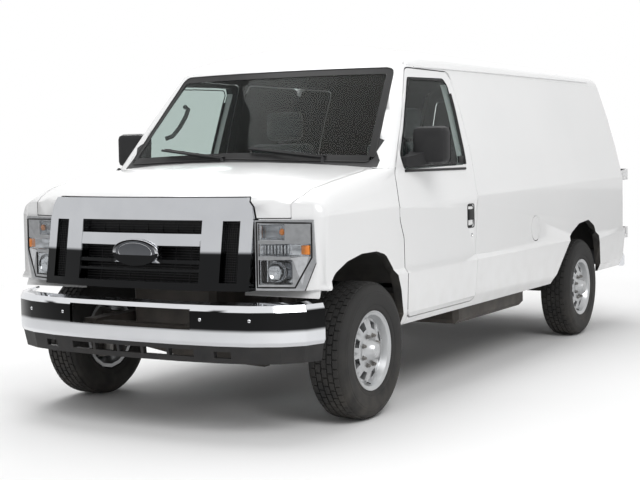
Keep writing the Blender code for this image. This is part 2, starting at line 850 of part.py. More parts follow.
def screen_y(x, z):
    """Place along Y of the windshield's outer face."""
    share = (z - COWL_Z) / (HEADER_Z - COWL_Z)
    return between(COWL_Y, HEADER_Y, share) + between(COWL_BOW, HEADER_BOW, share) * (abs(x) / 0.93) ** 2.2



def build_hood():
    hood = panel("hood", hood_region(0.0))
    hood = cut(hood, nose_region("grille_room", GRILLE, HOOD_GAP, NOSE_Y - FAR, NOSE_Y + 0.16))
    return moving(tidy(union(hood, *hood_arms())), HOOD_HINGE)


def hood_arms():
    """Gooseneck arms that carry the hood from pins below the cowl."""
    middle, pin_y, pin_z = HOOD_HINGE
    line = [Vector((pin_y + y, pin_z + z)) for y, z in HOOD_ARM]
    upper, lower = [], []
    for k, here in enumerate(line):
        along = (line[min(k + 1, len(line) - 1)] - line[max(k - 1, 0)]).normalized()
        across = Vector((-along.y, along.x)) * HOOD_ARM_HALF
        upper.append(tuple(here + across))
        lower.append(tuple(here - across))
    near, far = HOOD_ARM_X
    arms = []
    for side, tag in SIDES:
        low, high = sorted((side * near, side * far))
        arms.append(prism("arm", upper + lower[::-1], "x", low, high))
        arms.append(rod("pin", (low, pin_y, pin_z), (high, pin_y, pin_z), HOOD_PIN_R, sides=12))
    return arms


def build_screen():
    inner = hull("glass_form", SCREEN_GLASS, SCREEN_GLASS, SCREEN_GLASS, SILL_Z - OVERRUN)
    skin = boolean(duplicate(OUTER, "glass_skin"), inner)
    screen = panel("windshield", screen_region(0.0), GLASS, skin)
    outline = rounded(offset(WINDOW, SEAT_GAP), WINDOW_CORNER)
    pane = panel(
        "door_glass", prism("pane", outline, "x", 0.5, SIDE_OUT_X, collection=CUTTERS), GLASS, skin
    )
    place_pair("door_glass", tidy(pane), (DOOR_PIN_X, DOOR_PIN_Y, GLASS_LOW_Z))
    bpy.data.objects.remove(skin)
    return tidy(screen)


def swapped(cutter):
    """The cutter moved to the other side of the middle plane."""
    other = mirrored(cutter, cutter.name)
    bpy.data.objects.remove(cutter)
    return other


def build_cowl():
    cowl = panel("cowl", cowl_region(0.0), BLACK)
    cowl = cut(cowl, hood_region(HOOD_REAR_GAP), screen_region(SEAT_GAP))
    for reach in (1, -1):
        side_room = fender_region(SEAT_GAP)
        cowl = cut(cowl, side_room if reach > 0 else swapped(side_room))
    (lug_y, lug_z), (lug_end, lug_top) = COWL_LUG
    near = HOOD_ARM_X[1] + SEAT_GAP
    lugs = both_sides("lug", (near, lug_y, lug_z), (near + HOOD_ARM_HALF, lug_end, lug_top))
    return tidy(union(cowl, *lugs, *wipers()))


def build_roof():
    roof = panel("roof_panel", roof_region(0.0))
    roof = cut(roof, screen_region(SEAT_GAP))
    return tidy(roof)


def build_fenders():
    fender = panel("fender", fender_region(0.0))
    fender = cut(
        fender,
        hood_region(HOOD_GAP),
        arch_cutter("arch", FRONT_ARCH, FRONT_AXLE_Y),
        side_cutter("door_room", FRONT_DOOR, 1, DOOR_GAP),
    )
    fender = cut(fender, nose_region("lamp_room", LAMP, SEAT_GAP, NOSE_Y - FAR, NOSE_Y + LAMP_DEPTH))
    wall = LINER_OFFSET + LINER_WALL
    ring = arch_cutter("liner", FRONT_ARCH, FRONT_AXLE_Y, wall, LINER_IN_X, LINER_OUT_X)
    ring = cut(ring, arch_cutter("liner_room", FRONT_ARCH, FRONT_AXLE_Y, LINER_OFFSET, LINER_IN_X + LINER_WALL))
    above = block("above", (0.3, -2.8, LINER_LOW_Z), (1.2, -1.2, 1.2), collection=CUTTERS)
    ring = boolean(ring, above, "INTERSECT")
    ring = cut(ring, nose_region("lamp_room", LAMP, SEAT_GAP, NOSE_Y - FAR, NOSE_Y + LAMP_DEPTH))
    pair("fender", tidy(union(fender, ring)))


def build_sides():
    region = block(
        "side_region", (SEAT_GAP, SIDE_FRONT_Y, 0.40), (HALF_WIDTH + FAR, REAR_Y + FAR, ROOF_Z + FAR),
        collection=CUTTERS,
    )
    wall = panel("body_side", region)
    wall = cut(
        wall,
        fender_region(SEAT_GAP),
        side_cutter("door_room", FRONT_DOOR, 1, DOOR_GAP),
        arch_cutter("arch", REAR_ARCH, REAR_AXLE_Y),
        roof_region(SEAT_GAP),
        screen_region(SEAT_GAP),
        cowl_region(SEAT_GAP),
        rear_door_cutter(DOOR_GAP),
        block("lamp_room", *lamp_box(SEAT_GAP), collection=CUTTERS),
        block("frame_room", (-FAR, 2.0, 0.0), (FRAME_ROOM_X, 3.0, REAR_DOOR_LOW_Z + DOOR_GAP), collection=CUTTERS),
    )
    left, right = pair("body_side", wall)
    fuel_room = rod(
        "fuel_room", (FUEL_BACK_X, *FUEL_DOOR), (SIDE_OUT_X, *FUEL_DOOR), FUEL_R, sides=24, collection=CUTTERS
    )
    tidy(union(tidy(cut(left, fuel_room)), *rear_lugs(1)))
    right = cut(right, side_cutter("cargo_room", SIDE_DOOR, -1, DOOR_GAP))
    lugs = [
        *cargo_lugs(SIDE_DOOR_FRONT_Y - DOOR_GAP, 1, 1), *cargo_lugs(SIDE_DOOR_REAR_Y + DOOR_GAP, -1, 1),
        *swapped_all(rear_lugs(1)),
    ]
    tidy(union(tidy(right), *lugs))


def swapped_all(pieces):
    """The pieces moved to the other side of the middle plane."""
    return [swapped(piece) for piece in pieces]


def rear_lugs(fixed):
    """Hinge knuckles of the left rear door, or the ones below them on the body."""
    found = []
    for z in REAR_HINGE_ZS:
        low, high = z - REAR_STRAP_Z, z + REAR_STRAP_Z
        if fixed:
            high = low - SEAT_GAP
            low = high - REAR_LUG_Z
            found.append(block("leaf", (REAR_LUG_X, TAIL_Y - REAR_LUG_IN, low), (REAR_HINGE_X, REAR_HINGE_Y, high)))
        found.append(rod("barrel", (REAR_HINGE_X, REAR_HINGE_Y, low), (REAR_HINGE_X, REAR_HINGE_Y, high), REAR_PIN_R, sides=10))
    return found


def lamp_box(grow):
    low = (TAIL_LAMP_X - grow, TAIL_Y - TAIL_LAMP_DEPTH - grow, TAIL_LAMP_LOW_Z - grow)
    return low, (HALF_WIDTH + FAR, REAR_Y + FAR, TAIL_LAMP_HIGH_Z + grow)


def build_tail_lamps():
    region = block("lamp", *lamp_box(0.0), collection=CUTTERS)
    pair("tail_lamp", tidy(panel("tail_lamp", region, RED)))


def build_front_doors():
    door = panel("front_door", side_cutter("door", FRONT_DOOR, 1, 0.0))
    outline = rounded(WINDOW, WINDOW_CORNER)
    door = cut(door, prism("window", outline, "x", 0.5, SIDE_OUT_X, collection=CUTTERS))
    low, high = HANDLE
    dish = rounded(box_outline(low, high), HANDLE_CORNER, 1)
    door = cut(door, prism("dish", dish, "x", UPPER_X - HANDLE_DEPTH, SIDE_OUT_X, collection=CUTTERS))
    grip = block(
        "grip", (UPPER_X - HANDLE_DEPTH - SKIN / 2, low[0] + HANDLE_EDGE, low[1] + HANDLE_EDGE),
        (UPPER_X + HANDLE_PROUD, high[0] - 2 * HANDLE_EDGE, high[1] - HANDLE_EDGE), bevel=HANDLE_ROUND,
    )
    door = union(door, grip)
    top = DOOR_PIN_Z + DOOR_PIN_LENGTH
    barrel = rod("barrel", (DOOR_PIN_X, DOOR_PIN_Y, DOOR_PIN_Z), (DOOR_PIN_X, DOOR_PIN_Y, top), DOOR_PIN_R, sides=10)
    door = union(tidy(door), barrel)
    place_pair("front_door", tidy(door), (DOOR_PIN_X, DOOR_PIN_Y, STEP_Z))


def build_cargo_doors():
    middle = SIDE_DOOR_SPLIT_Y
    half_gap = DOOR_GAP / 2
    front = [(y if y < middle else middle - half_gap, z) for y, z in SIDE_DOOR]
    rear = [(y if y > middle else middle + half_gap, z) for y, z in SIDE_DOOR]
    for corners, tag, hinge in (
        (front, "front", SIDE_DOOR_FRONT_Y - DOOR_GAP), (rear, "rear", SIDE_DOOR_REAR_Y + DOOR_GAP)
    ):
        door = panel("cargo_door_" + tag, side_cutter("door", corners, -1, 0.0))
        door = union(tidy(door), *cargo_lugs(hinge, 1 if tag == "front" else -1, 0))
        moving(tidy(door), (-HINGE_X, hinge, STEP_Z))


def cargo_lugs(hinge_y, way, fixed):
    """Hinge knuckles of a cargo door: those of the door, or the ones below them on the body."""
    found = []
    for low in CARGO_PIN_ZS:
        start = low - fixed * (CARGO_PIN_LENGTH + SEAT_GAP)
        end = start + CARGO_PIN_LENGTH
        turn = -way if fixed else way
        reach, root = hinge_y + turn * CARGO_LEAF, hinge_y + turn * CARGO_ROOT
        found.append(block("leaf", *ordered((-(UPPER_X + DOOR_GAP), hinge_y, start), (-HINGE_X, reach, end))))
        found.append(block("root", *ordered((-(UPPER_X - CARGO_PIN_R), root, start), (-HINGE_X, reach, end))))
        found.append(rod("barrel", (-HINGE_X, hinge_y, start), (-HINGE_X, hinge_y, end), CARGO_PIN_R, sides=10))
    return found


def build_rear_doors():
    door = panel("rear_door", rear_door_cutter(0.0))
    door = cut(door, block("middle", (-FAR, 2.0, 0.0), (DOOR_GAP / 2, 3.0, 2.5), collection=CUTTERS))
    pin = (REAR_HINGE_X, REAR_HINGE_Y)
    back_y = REAR_STRAP_Y + REAR_STRAP_WALL
    for z in REAR_HINGE_ZS:
        low, high = z - REAR_STRAP_Z, z + REAR_STRAP_Z
        strap = block("strap", (REAR_STRAP_X, REAR_STRAP_Y, low), (pin[0], back_y, high))
        pad = block(
            "pad", (REAR_STRAP_X - 0.01, tail_y(z) - 0.03, low + 0.002), (REAR_STRAP_X + 0.035, back_y - 0.002, high - 0.002)
        )
        door = union(door, pad, strap)
    door = union(door, *rear_lugs(0))
    place_pair("rear_door", tidy(door), (*pin, BELT_REAR_Z))


def build_fuel_door():
    plug = rod("plug", (FUEL_BACK_X + FUEL_GAP, *FUEL_DOOR), (SIDE_OUT_X, *FUEL_DOOR), FUEL_R - FUEL_GAP, sides=24,
               collection=CUTTERS)
    lid = panel("fuel_door", plug)
    pin_y = FUEL_DOOR[0] - FUEL_R + FUEL_PIN_IN
    low, high = FUEL_DOOR[1] - FUEL_PIN_HALF, FUEL_DOOR[1] + FUEL_PIN_HALF
    barrel = rod("barrel", (FUEL_HINGE_X, pin_y, low), (FUEL_HINGE_X, pin_y, high), FUEL_PIN_R, sides=8)
    return moving(tidy(union(lid, barrel)), (FUEL_HINGE_X, pin_y, FUEL_DOOR[1]))


def build_headlamps():
    lamp = nose_region("headlamp", LAMP, 0.0, NOSE_Y - LAMP_PROUD, NOSE_Y + LAMP_DEPTH - SEAT_GAP)
    for low, high in LAMP_POCKETS:
        pocket = nose_region("pocket", box_outline(low, high), 0.0, NOSE_Y - FAR, NOSE_Y + LAMP_POCKET_DEPTH)
        lamp = cut(lamp, pocket)
    pair("headlamp", tidy(shown(lamp, LENS)))


def band(name, path, section, finish):
    """A bar that follows a path in plan: each section point is (outwards, height)."""
    full = [(-x, y) for x, y in reversed(path[1:])] + list(path)
    rings = []
    for k, (x, y) in enumerate(full):
        before = Vector(full[max(k - 1, 0)])
        after = Vector(full[min(k + 1, len(full) - 1)])
        along = (after - before).normalized()
        out = Vector((along.y, -along.x))
        rings.append([(x + out.x * push, y + out.y * push, z) for push, z in section])
    return loft(name, rings, finish)


def box_outline(low, high):
    return [(low[0], low[1]), (high[0], low[1]), (high[0], high[1]), (low[0], high[1])]


def build_grille():
    """The bright surround with its posts, cross bars and plain oval badge."""
    frame = nose_region("grille", GRILLE, 0.0, GRILLE_Y, GRILLE_Y + GRILLE_DEPTH, GRILLE_LEAN)
    frame = shown(frame, CHROME)
    front, back = GRILLE_Y - GRILLE_DEPTH, GRILLE_Y + 2 * GRILLE_DEPTH
    for low, high in GRILLE_HOLES:
        frame = cut(frame, nose_region("hole", box_outline(low, high), 0.0, front, back, GRILLE_LEAN))
    reach = GRILLE_HOLES[0][1][0] + GRILLE_BAR_IN
    for low, high, sunk, depth in GRILLE_BARS:
        bar = nose_region(
            "bar", box_outline((-reach, low), (reach, high)), 0.0, GRILLE_Y + sunk, GRILLE_Y + sunk + depth, GRILLE_LEAN
        )
        frame = union(frame, bar)
    wide, tall, height = BADGE
    oval = [
        (wide * math.cos(turn), height + tall * math.sin(turn))
        for turn in (2 * math.pi * k / BADGE_STEPS for k in range(BADGE_STEPS))
    ]
    badge = prism("badge", oval, "y", GRILLE_Y - BADGE_PROUD, GRILLE_Y + BADGE_BACK, collection=CUTTERS)
    for vert in badge.data.vertices:
        vert.co.y += GRILLE_LEAN * (vert.co.z - GRILLE[0][1])
    return tidy(union(frame, badge))


def build_bumpers():
    bumper = band("front_bumper", BUMPER_PATH, BUMPER_SECTION, CHROME)
    x, low, high = BUMPER_HOLE
    bumper = cut(bumper, block("hole", (-x, FRONT_Y - 0.1, low), (x, FRONT_Y + 0.2, high), collection=CUTTERS))
    tidy(bumper)
    valance = band("front_valance", BUMPER_PATH, VALANCE_SECTION, BLACK)
    for low_x, high_x, low, high in VALANCE_HOLES:
        for side in SIDES_OF[low_x < 0]:
            corner = ordered((side * low_x, FRONT_Y - FAR, low), (side * high_x, FRONT_Y + FAR, high))
            valance = cut(valance, block("hole", *corner, collection=CUTTERS))
    tidy(valance)
    rear = band("rear_bumper", [(x, -y) for x, y in REAR_BUMPER_PATH], REAR_BUMPER_SECTION, CHROME)
    rear.data.transform(Matrix.Scale(-1, 4, Vector((0, 1, 0))))
    rear.data.flip_normals()
    tidy(rear)


# Values used by the panels

WIPER_ENDS = ((0.58, 0.10), (-0.05, -0.55))
WIPER_LOW_Z = 1.392
WIPER_HIGH_Z = 1.445
WIPER_PROUD = 0.030
WIPER_R = 0.007
WIPER_FOOT_R = 0.009
WIPER_FOOT_IN = -0.010
WIPER_FOOT_DEPTH = 0.012

SIDES = ((1, "left"), (-1, "right"))
HOOD_HINGE = (0.0, -1.600, 1.330)
HOOD_REAR_GAP = 0.0095
HOOD_ARM_X = (0.600, 0.612)
HOOD_ARM_HALF = 0.010
HOOD_ARM = ((0.0, 0.0), (-0.070, -0.145), (-0.140, -0.128), (-0.186, -0.060), (-0.196, 0.002))
HOOD_PIN_R = 0.012
COWL_LUG = ((-1.690, 1.322), (-1.588, 1.344))
WINDOW_CORNER = 0.04
HINGE_X = HALF_WIDTH + 0.0015
DOOR_PIN_X = UPPER_X + 0.0015
DOOR_PIN_Y = DOOR_FRONT_Y - 0.0026
DOOR_PIN_R = DOOR_GAP - 0.0026 - SEAT_GAP
DOOR_PIN_Z = 1.058
DOOR_PIN_LENGTH = 0.048
REAR_HINGE_X = 0.990
REAR_HINGE_Y = 2.649
REAR_HINGE_ZS = (0.74, 1.22)
REAR_STRAP_X = 0.800
REAR_STRAP_Y = 2.644
REAR_STRAP_WALL = 0.010
REAR_STRAP_Z = 0.030
REAR_PIN_R = 0.009
REAR_LUG_Z = 0.030
REAR_LUG_X = 0.930
REAR_LUG_IN = 0.050
CARGO_PIN_ZS = (0.860, 1.050)
CARGO_PIN_LENGTH = 0.040
CARGO_PIN_R = 0.009
CARGO_LEAF = 0.032
CARGO_ROOT = 0.014
TAIL_LAMP_X = 0.885
FRAME_ROOM_X = 0.560
TAIL_LAMP_DEPTH = 0.055
TAIL_LAMP_LOW_Z = 0.80
TAIL_LAMP_HIGH_Z = 1.15
HANDLE = ((-0.660, 0.945), (-0.560, 1.090))
HANDLE_DEPTH = 0.018
HANDLE_CORNER = 0.020
HANDLE_EDGE = 0.014
HANDLE_PROUD = 0.004
HANDLE_ROUND = 0.006
FUEL_DOOR = (0.521, 0.877)
FUEL_R = 0.090
FUEL_GAP = 0.0055
FUEL_PIN_IN = 0.0036
FUEL_PIN_R = 0.0026
FUEL_PIN_HALF = 0.010
FUEL_BACK_X = 0.968
FUEL_HINGE_X = UPPER_X + 0.0015
LAMP_DEPTH = 0.080
LAMP_PROUD = 0.004
LAMP_POCKET_DEPTH = 0.012
LAMP_POCKETS = (
    ((0.672, 0.985), (0.800, 1.066)), ((0.672, 0.905), (0.920, 0.968)), ((0.672, 0.765), (0.835, 0.888)),
)
LINER_IN_X = 0.520
LINER_OUT_X = 0.955
LINER_OFFSET = 0.012
LINER_WALL = 0.010
LINER_LOW_Z = 0.695
GRILLE_Y = -2.687
GRILLE_LEAN = 0.16
GRILLE_HOLES = (
    ((-0.385, 0.772), (0.385, 1.085)), ((0.498, 0.775), (0.590, 1.082)), ((-0.590, 0.775), (-0.498, 1.082)),
)
GRILLE_DEPTH = 0.070
GRILLE_BAR_IN = 0.010
GRILLE_BARS = ((0.955, 1.016, 0.006, 0.040), (0.866, 0.884, 0.010, 0.025), (0.824, 0.836, 0.012, 0.020))
BADGE = (0.147, 0.069, 0.919)
BADGE_STEPS = 20
BADGE_PROUD = 0.008
BADGE_BACK = 0.030
BUMPER_PATH = (
    (0.0, -2.752), (0.30, -2.746), (0.52, -2.724), (0.70, -2.684), (0.84, -2.615), (0.93, -2.520),
    (0.968, -2.400),
)
BUMPER_LOW_Z = 0.470
BUMPER_SECTION = (
    (-0.045, BUMPER_LOW_Z), (-0.010, BUMPER_LOW_Z), (0.0, 0.490), (0.0, 0.640), (-0.015, 0.672), (-0.055, 0.684),
    (-0.060, 0.676), (-0.030, 0.655), (-0.018, 0.630), (-0.018, 0.500), (-0.045, 0.482),
)
BUMPER_HOLE = (0.385, 0.548, 0.650)
VALANCE_SECTION = ((-0.055, 0.386), (-0.030, 0.382), (-0.012, BUMPER_LOW_Z - SEAT_GAP), (-0.045, BUMPER_LOW_Z - SEAT_GAP))
VALANCE_HOLES = (
    (-0.070, 0.070, 0.410, 0.446), (0.085, 0.230, 0.410, 0.446), (0.245, 0.390, 0.410, 0.446),
    (0.504, 0.593, 0.408, 0.442),
)
SIDES_OF = ((1, -1), (1,))
REAR_BUMPER_PATH = ((0.0, 2.752), (0.60, 2.752), (0.86, 2.742), (0.935, 2.715), (0.968, 2.660))
REAR_BUMPER_SECTION = (
    (-0.045, 0.440), (-0.010, 0.440), (0.0, 0.455), (0.0, 0.525), (-0.010, 0.545), (-0.045, 0.545),
)



# Wheels and knuckles

WHEEL_Z = TYRE_R
TYRE_STEPS = 28
RIM_STEPS = 16
TYRE_PROFILE = (
    (RIM_R - 0.008, -0.096), (RIM_R + 0.012, -0.104), (0.290, -0.112), (0.340, -0.104),
    (TYRE_R, -0.078), (TYRE_R, 0.078), (0.340, 0.104), (0.290, 0.112),
    (RIM_R + 0.012, 0.104), (RIM_R - 0.008, 0.096), (RIM_R - 0.008, -0.096),
)
RIM_PROFILE = (
    (0.0, 0.128), (0.046, 0.122), (0.056, 0.078), (0.110, 0.078), (0.180, 0.056), (0.194, 0.090),
    (RIM_R - 0.0095, 0.0955), (RIM_R - 0.0095, -0.0955), (0.190, -0.094), (0.182, 0.030), (0.036, 0.040),
    (0.036, 0.100), (0.0, 0.100),
)
WINDOW_COUNT = 8
WINDOW_REACH = (0.098, 0.158)
WINDOW_HALF = (0.014, 0.030)
KNUCKLE_R = 0.042
KNUCKLE_HALF = 0.115
SPINDLE_R = 0.0350
SPINDLE_END_X = 0.975
DISC_R = 0.150
REAR_SPINDLE_R = 0.0350


def build_wheel(tag, centre, side):
    tyre = turned("tyre_" + tag, [(r, side * x) for r, x in TYRE_PROFILE], centre, RUBBER, TYRE_STEPS)
    rim = turned("rim_" + tag, [(r, side * x) for r, x in RIM_PROFILE], centre, SILVER, RIM_STEPS)
    for k in range(WINDOW_COUNT):
        turn = 2 * math.pi * (k + 0.5) / WINDOW_COUNT
        low, high = WINDOW_REACH
        narrow, wide = WINDOW_HALF
        flat = ((low, -narrow), (high, -wide), (high, wide), (low, narrow))
        corners = [
            (
                centre[1] + r * math.cos(turn) - a * math.sin(turn),
                centre[2] + r * math.sin(turn) + a * math.cos(turn),
            )
            for r, a in flat
        ]
        start, end = sorted((centre[0] + side * 0.02, centre[0] + side * 0.12))
        rim = cut(rim, prism("window", corners, "x", start, end, collection=CUTTERS))
    moving(tidy(rim), centre)
    moving(tyre, centre)


def build_knuckle(side, tag):
    y, z = FRONT_AXLE_Y, WHEEL_Z
    post = rod(
        "knuckle_" + tag, (side * KINGPIN_X, y, z - KNUCKLE_HALF), (side * KINGPIN_X, y, z + KNUCKLE_HALF),
        KNUCKLE_R, ALLOY, 12,
    )
    spindle = rod("spindle", (side * KINGPIN_X, y, z), (side * SPINDLE_END_X, y, z), SPINDLE_R, sides=16)
    disc = rod(
        "disc", (side * DISC_X[0], y, z), (side * DISC_X[1], y, z), DISC_R, sides=20
    )
    arm = block("arm", *ordered((side * (KINGPIN_X - 0.020), y, z - 0.10), (side * (KINGPIN_X + 0.020), y + STEER_ARM, z - 0.07)))
    moving(tidy(union(post, disc, spindle, arm)), (side * KINGPIN_X, y, z))


def ordered(one, two):
    return [min(a, b) for a, b in zip(one, two)], [max(a, b) for a, b in zip(one, two)]


def both_sides(name, low, high, finish=None, bevel=0.0):
    return [block(name, *ordered((side * low[0], *low[1:]), (side * high[0], *high[1:])), finish, bevel)
            for side, tag in SIDES]


DISC_X = (0.838, 0.866)
STEER_ARM = 0.15



# Frame, axles and drive line

RAIL_LOW_Z = 0.470
RAIL_HIGH_Z = 0.560
FRAME_FRONT_RAIL = ((0.290, -2.640), (0.370, -1.300))
FRAME_REAR_RAIL = ((0.360, -1.300), (0.440, 2.560))
CROSS_YS = (-2.600, 0.500, 2.500)
CROSS_LENGTH = 0.080
TOWER_Y = 0.060
FLOOR_LOW_Z = 0.620
FLOOR_HIGH_Z = 0.650
FLOOR_FRONT_Y = -1.440
FLOOR_REAR_Y = 2.500
FLOOR_X = 0.939
MAT_X = 0.600
MAT_YS = (-0.340, 2.450)
MAT_TOP_Z = FLOOR_HIGH_Z + 0.003
MOUNT_YS = (-1.350, -0.200, 1.000, 2.300)
HOUSE = ((0.640, 1.060), (0.9350, 2.080))
HOUSE_TOP_Z = 0.960
HOUSE_WALL = 0.010


def build_frame():
    (x0, y0), (x1, y1) = FRAME_FRONT_RAIL
    pieces = both_sides("rail", (x0, y0, RAIL_LOW_Z), (x1, y1 + CROSS_LENGTH / 2, RAIL_HIGH_Z))
    (x2, y2), (x3, y3) = FRAME_REAR_RAIL
    pieces += both_sides("rail", (x2, y2 - CROSS_LENGTH / 2, RAIL_LOW_Z), (x3, y3, RAIL_HIGH_Z))
    for y in CROSS_YS:
        reach = (x1 if y < y2 else x3) - 0.010
        pieces.append(block(
            "cross", (-reach, y - CROSS_LENGTH / 2 + 0.002, RAIL_LOW_Z + 0.012),
            (reach, y + CROSS_LENGTH / 2 - 0.002, RAIL_HIGH_Z - 0.012),
        ))
    tower_out = COIL_X + COIL_R + 0.002
    y = FRONT_AXLE_Y
    pieces += both_sides("tower", (x1 - 0.012, y - TOWER_Y, RAIL_LOW_Z + 0.02), (x1 + 0.012, y + TOWER_Y, TOWER_TOP_Z))
    pieces += both_sides(
        "tower_top", (x1 - 0.011, y - TOWER_Y + 0.001, TOWER_TOP_Z - 0.012), (tower_out, y + TOWER_Y - 0.001, TOWER_TOP_Z + 0.003)
    )
    for bracket_y in SPRING_YS:
        pieces += both_sides(
            "hanger", (x3 - 0.012, bracket_y - 0.03, RAIL_LOW_Z - 0.01), (SPRING_X[1], bracket_y + 0.03, RAIL_LOW_Z + 0.05)
        )
    for bar_y in BUMPER_BAR_YS:
        share = x1 if bar_y < 0 else x3
        end = (FRONT_Y + BUMPER_BACK) if bar_y < 0 else (REAR_Y - REAR_BUMPER_BACK)
        low_y, high_y = sorted((bar_y, end))
        pieces += both_sides(
            "bumper_bar", (share - 0.06, low_y, RAIL_LOW_Z + 0.036), (share - 0.02, high_y, RAIL_HIGH_Z - 0.02)
        )
    frame = pieces[0]
    frame.name = "chassis_frame"
    frame = union(frame, *pieces[1:])
    frame.data.materials.clear()
    frame.data.materials.append(STEEL)
    tidy(frame)


def build_floor():
    floor = block("floor_pan", (-FLOOR_X, FLOOR_FRONT_Y, FLOOR_LOW_Z), (FLOOR_X, FLOOR_REAR_Y, FLOOR_HIGH_Z), TRIM)
    (x0, y0), (x1, y1) = HOUSE
    for side, tag in SIDES:
        outer = block("house", *ordered((side * x0, y0, FLOOR_LOW_Z + 0.001), (side * x1, y1, HOUSE_TOP_Z)))
        room = block(
            "house_room",
            *ordered((side * (x0 + HOUSE_WALL), y0 + HOUSE_WALL, 0.3), (side * (x1 + 0.1), y1 - HOUSE_WALL, HOUSE_TOP_Z - HOUSE_WALL)),
            collection=CUTTERS,
        )
        floor = union(floor, outer)
        floor = cut(floor, room)
    mat_front_y, mat_rear_y = MAT_YS
    floor = union(floor, block("mat", (-MAT_X, mat_front_y, FLOOR_LOW_Z + 0.01), (MAT_X, mat_rear_y, MAT_TOP_Z)))
    for y in MOUNT_YS:
        for mount in both_sides("mount", (0.310, y - 0.04, RAIL_HIGH_Z + SEAT_GAP), (0.365, y + 0.04, FLOOR_LOW_Z + 0.01)):
            floor = union(floor, mount)
    wall_x = float(np.interp(
        FLOOR_LOW_Z, (ROCKER_Z, STEP_Z), (side_x(ROCKER_Z + SKIN / 2, 0.0) - WALL, side_x(STEP_Z + SKIN / 2, 0.0) - WALL)
    ))
    for low_y, high_y in BRACKET_YS:
        low, high = (FLOOR_X - 0.02, low_y, FLOOR_LOW_Z), (wall_x - SEAT_GAP, high_y, FLOOR_HIGH_Z - 0.001)
        floor = union(floor, *both_sides("bracket", low, high))
    tidy(floor)


BRACKET_YS = ((0.860, 0.980), (2.150, 2.350))
COIL_X = 0.455
COIL_R = 0.050
TOWER_TOP_Z = 0.700
BEAM_Z = (0.290, 0.370)
SPRING_X = (0.500, 0.560)
SPRING_YS = (0.960, 2.240)
BUMPER_BAR_YS = (-2.62, 2.54)
BUMPER_BACK = 0.0293
REAR_BUMPER_BACK = 0.0453
BEAM_END_X = 0.735
FORK_GAP = SEAT_GAP
FORK_WALL = 0.018


def build_front_axle():
    pieces = []
    y, z = FRONT_AXLE_Y, WHEEL_Z
    for side, tag in SIDES:
        shift = side * 0.024
        beam = loft(
            "beam",
            [
                [(side * x, y + dy + shift * bend, level + dz) for dy, dz in
                 ((-0.028, -0.035), (0.028, -0.035), (0.028, 0.035), (-0.028, 0.035))]
                for x, level, bend in (
                    (-0.33, z - 0.09, 1.0), (0.20, z - 0.07, 1.0), (0.48, z - 0.03, 0.6), (BEAM_END_X, z, 0.0)
                )
            ],
        )
        top, low = z + KNUCKLE_HALF + FORK_GAP, z - KNUCKLE_HALF - FORK_GAP
        upright = block("upright", *ordered(
            (side * (BEAM_END_X - 0.030), y - 0.027, low - FORK_WALL), (side * (BEAM_END_X + 0.001), y + 0.027, top + FORK_WALL)
        ))
        ears = [
            block("ear", *ordered((side * (BEAM_END_X - 0.02), y - 0.026, a), (side * (KINGPIN_X + 0.035), y + 0.026, b)))
            for a, b in ((top, top + FORK_WALL - 0.001), (low - FORK_WALL + 0.001, low))
        ]
        coil = rod("coil", (side * COIL_X, y, z - 0.03), (side * COIL_X, y, TOWER_TOP_Z - 0.0123), COIL_R, sides=12)
        arm = tube_piece(
            [(side * 0.47, y + 0.02, z - 0.05), (side * 0.46, y + 0.25, z - 0.05), (side * 0.395, -1.05, z + 0.06)], 0.022
        )
        pad = block("pad", *ordered((side * 0.375, -1.10, z + 0.03), (side * 0.425, -1.02, RAIL_LOW_Z - SEAT_GAP)))
        pieces.append(union(beam, upright, *ears, coil, arm, pad))
    tidy(finished(union(*pieces), "front_axle", STEEL))


def finished(obj, name, finish):
    obj.name = obj.data.name = name
    obj.data.materials.clear()
    obj.data.materials.append(finish)
    return obj


def tube_piece(points, radius):
    return tube("bar", points, radius, STEEL, 3)


def build_rear_axle():
    y, z = REAR_AXLE_Y, WHEEL_Z
    reach = REAR_TRACK / 2 + 0.093
    axle = rod("rear_axle", (-0.72, y, z), (0.72, y, z), 0.045, STEEL, 12)
    spindles = rod("spindle", (-reach, y, z), (reach, y, z), REAR_SPINDLE_R, sides=16)
    bm = bmesh.new()
    bmesh.ops.create_uvsphere(bm, u_segments=10, v_segments=6, radius=1.0,
                              matrix=Matrix.Translation((0, y, z)) @ Matrix.Diagonal((0.13, 0.15, 0.14, 1.0)))
    housing = from_bmesh(bm, "housing")
    nose = rod("nose", (0, y - 0.10, z + 0.01), (0, y - 0.26, z + 0.02), 0.055, sides=16)
    drums = [
        rod("drum", (side * 0.735, y, z), (side * 0.868, y, z), 0.150, sides=16) for side, tag in SIDES
    ]
    drums += [rod("plate", (side * 0.70, y, z), (side * 0.74, y, z), 0.06, sides=16) for side, tag in SIDES]
    tidy(union(axle, spindles, housing, nose, *drums, *leaf_springs()))


def leaf_springs():
    low, high = SPRING_YS
    leaves = []
    for side, tag in SIDES:
        rings = []
        for share in (0.0, 0.2, 0.5, 0.8, 1.0):
            arch = 1 - abs(2 * share - 1)
            top = RAIL_LOW_Z - LEAF_SEAT - LEAF_SAG * (1 - (2 * share - 1) ** 2)
            low_z = top - LEAF_THICK - LEAF_PACK * arch
            rings.append([
                (side * x, low + (high - low) * share, z)
                for x, z in ((SPRING_X[0], low_z), (SPRING_X[1], low_z), (SPRING_X[1], top), (SPRING_X[0], top))
            ])
        leaves.append(loft("leaf", rings))
        y, z = REAR_AXLE_Y, WHEEL_Z
        leaves.append(block("clamp", *ordered(
            (side * (SPRING_X[0] - 0.008), y - 0.06, z - 0.01), (side * (SPRING_X[1] + 0.008), y + 0.06, z + 0.062)
        )))
    return leaves


LEAF_SEAT = 0.0103
LEAF_SAG = 0.024
LEAF_THICK = 0.012
LEAF_PACK = 0.026


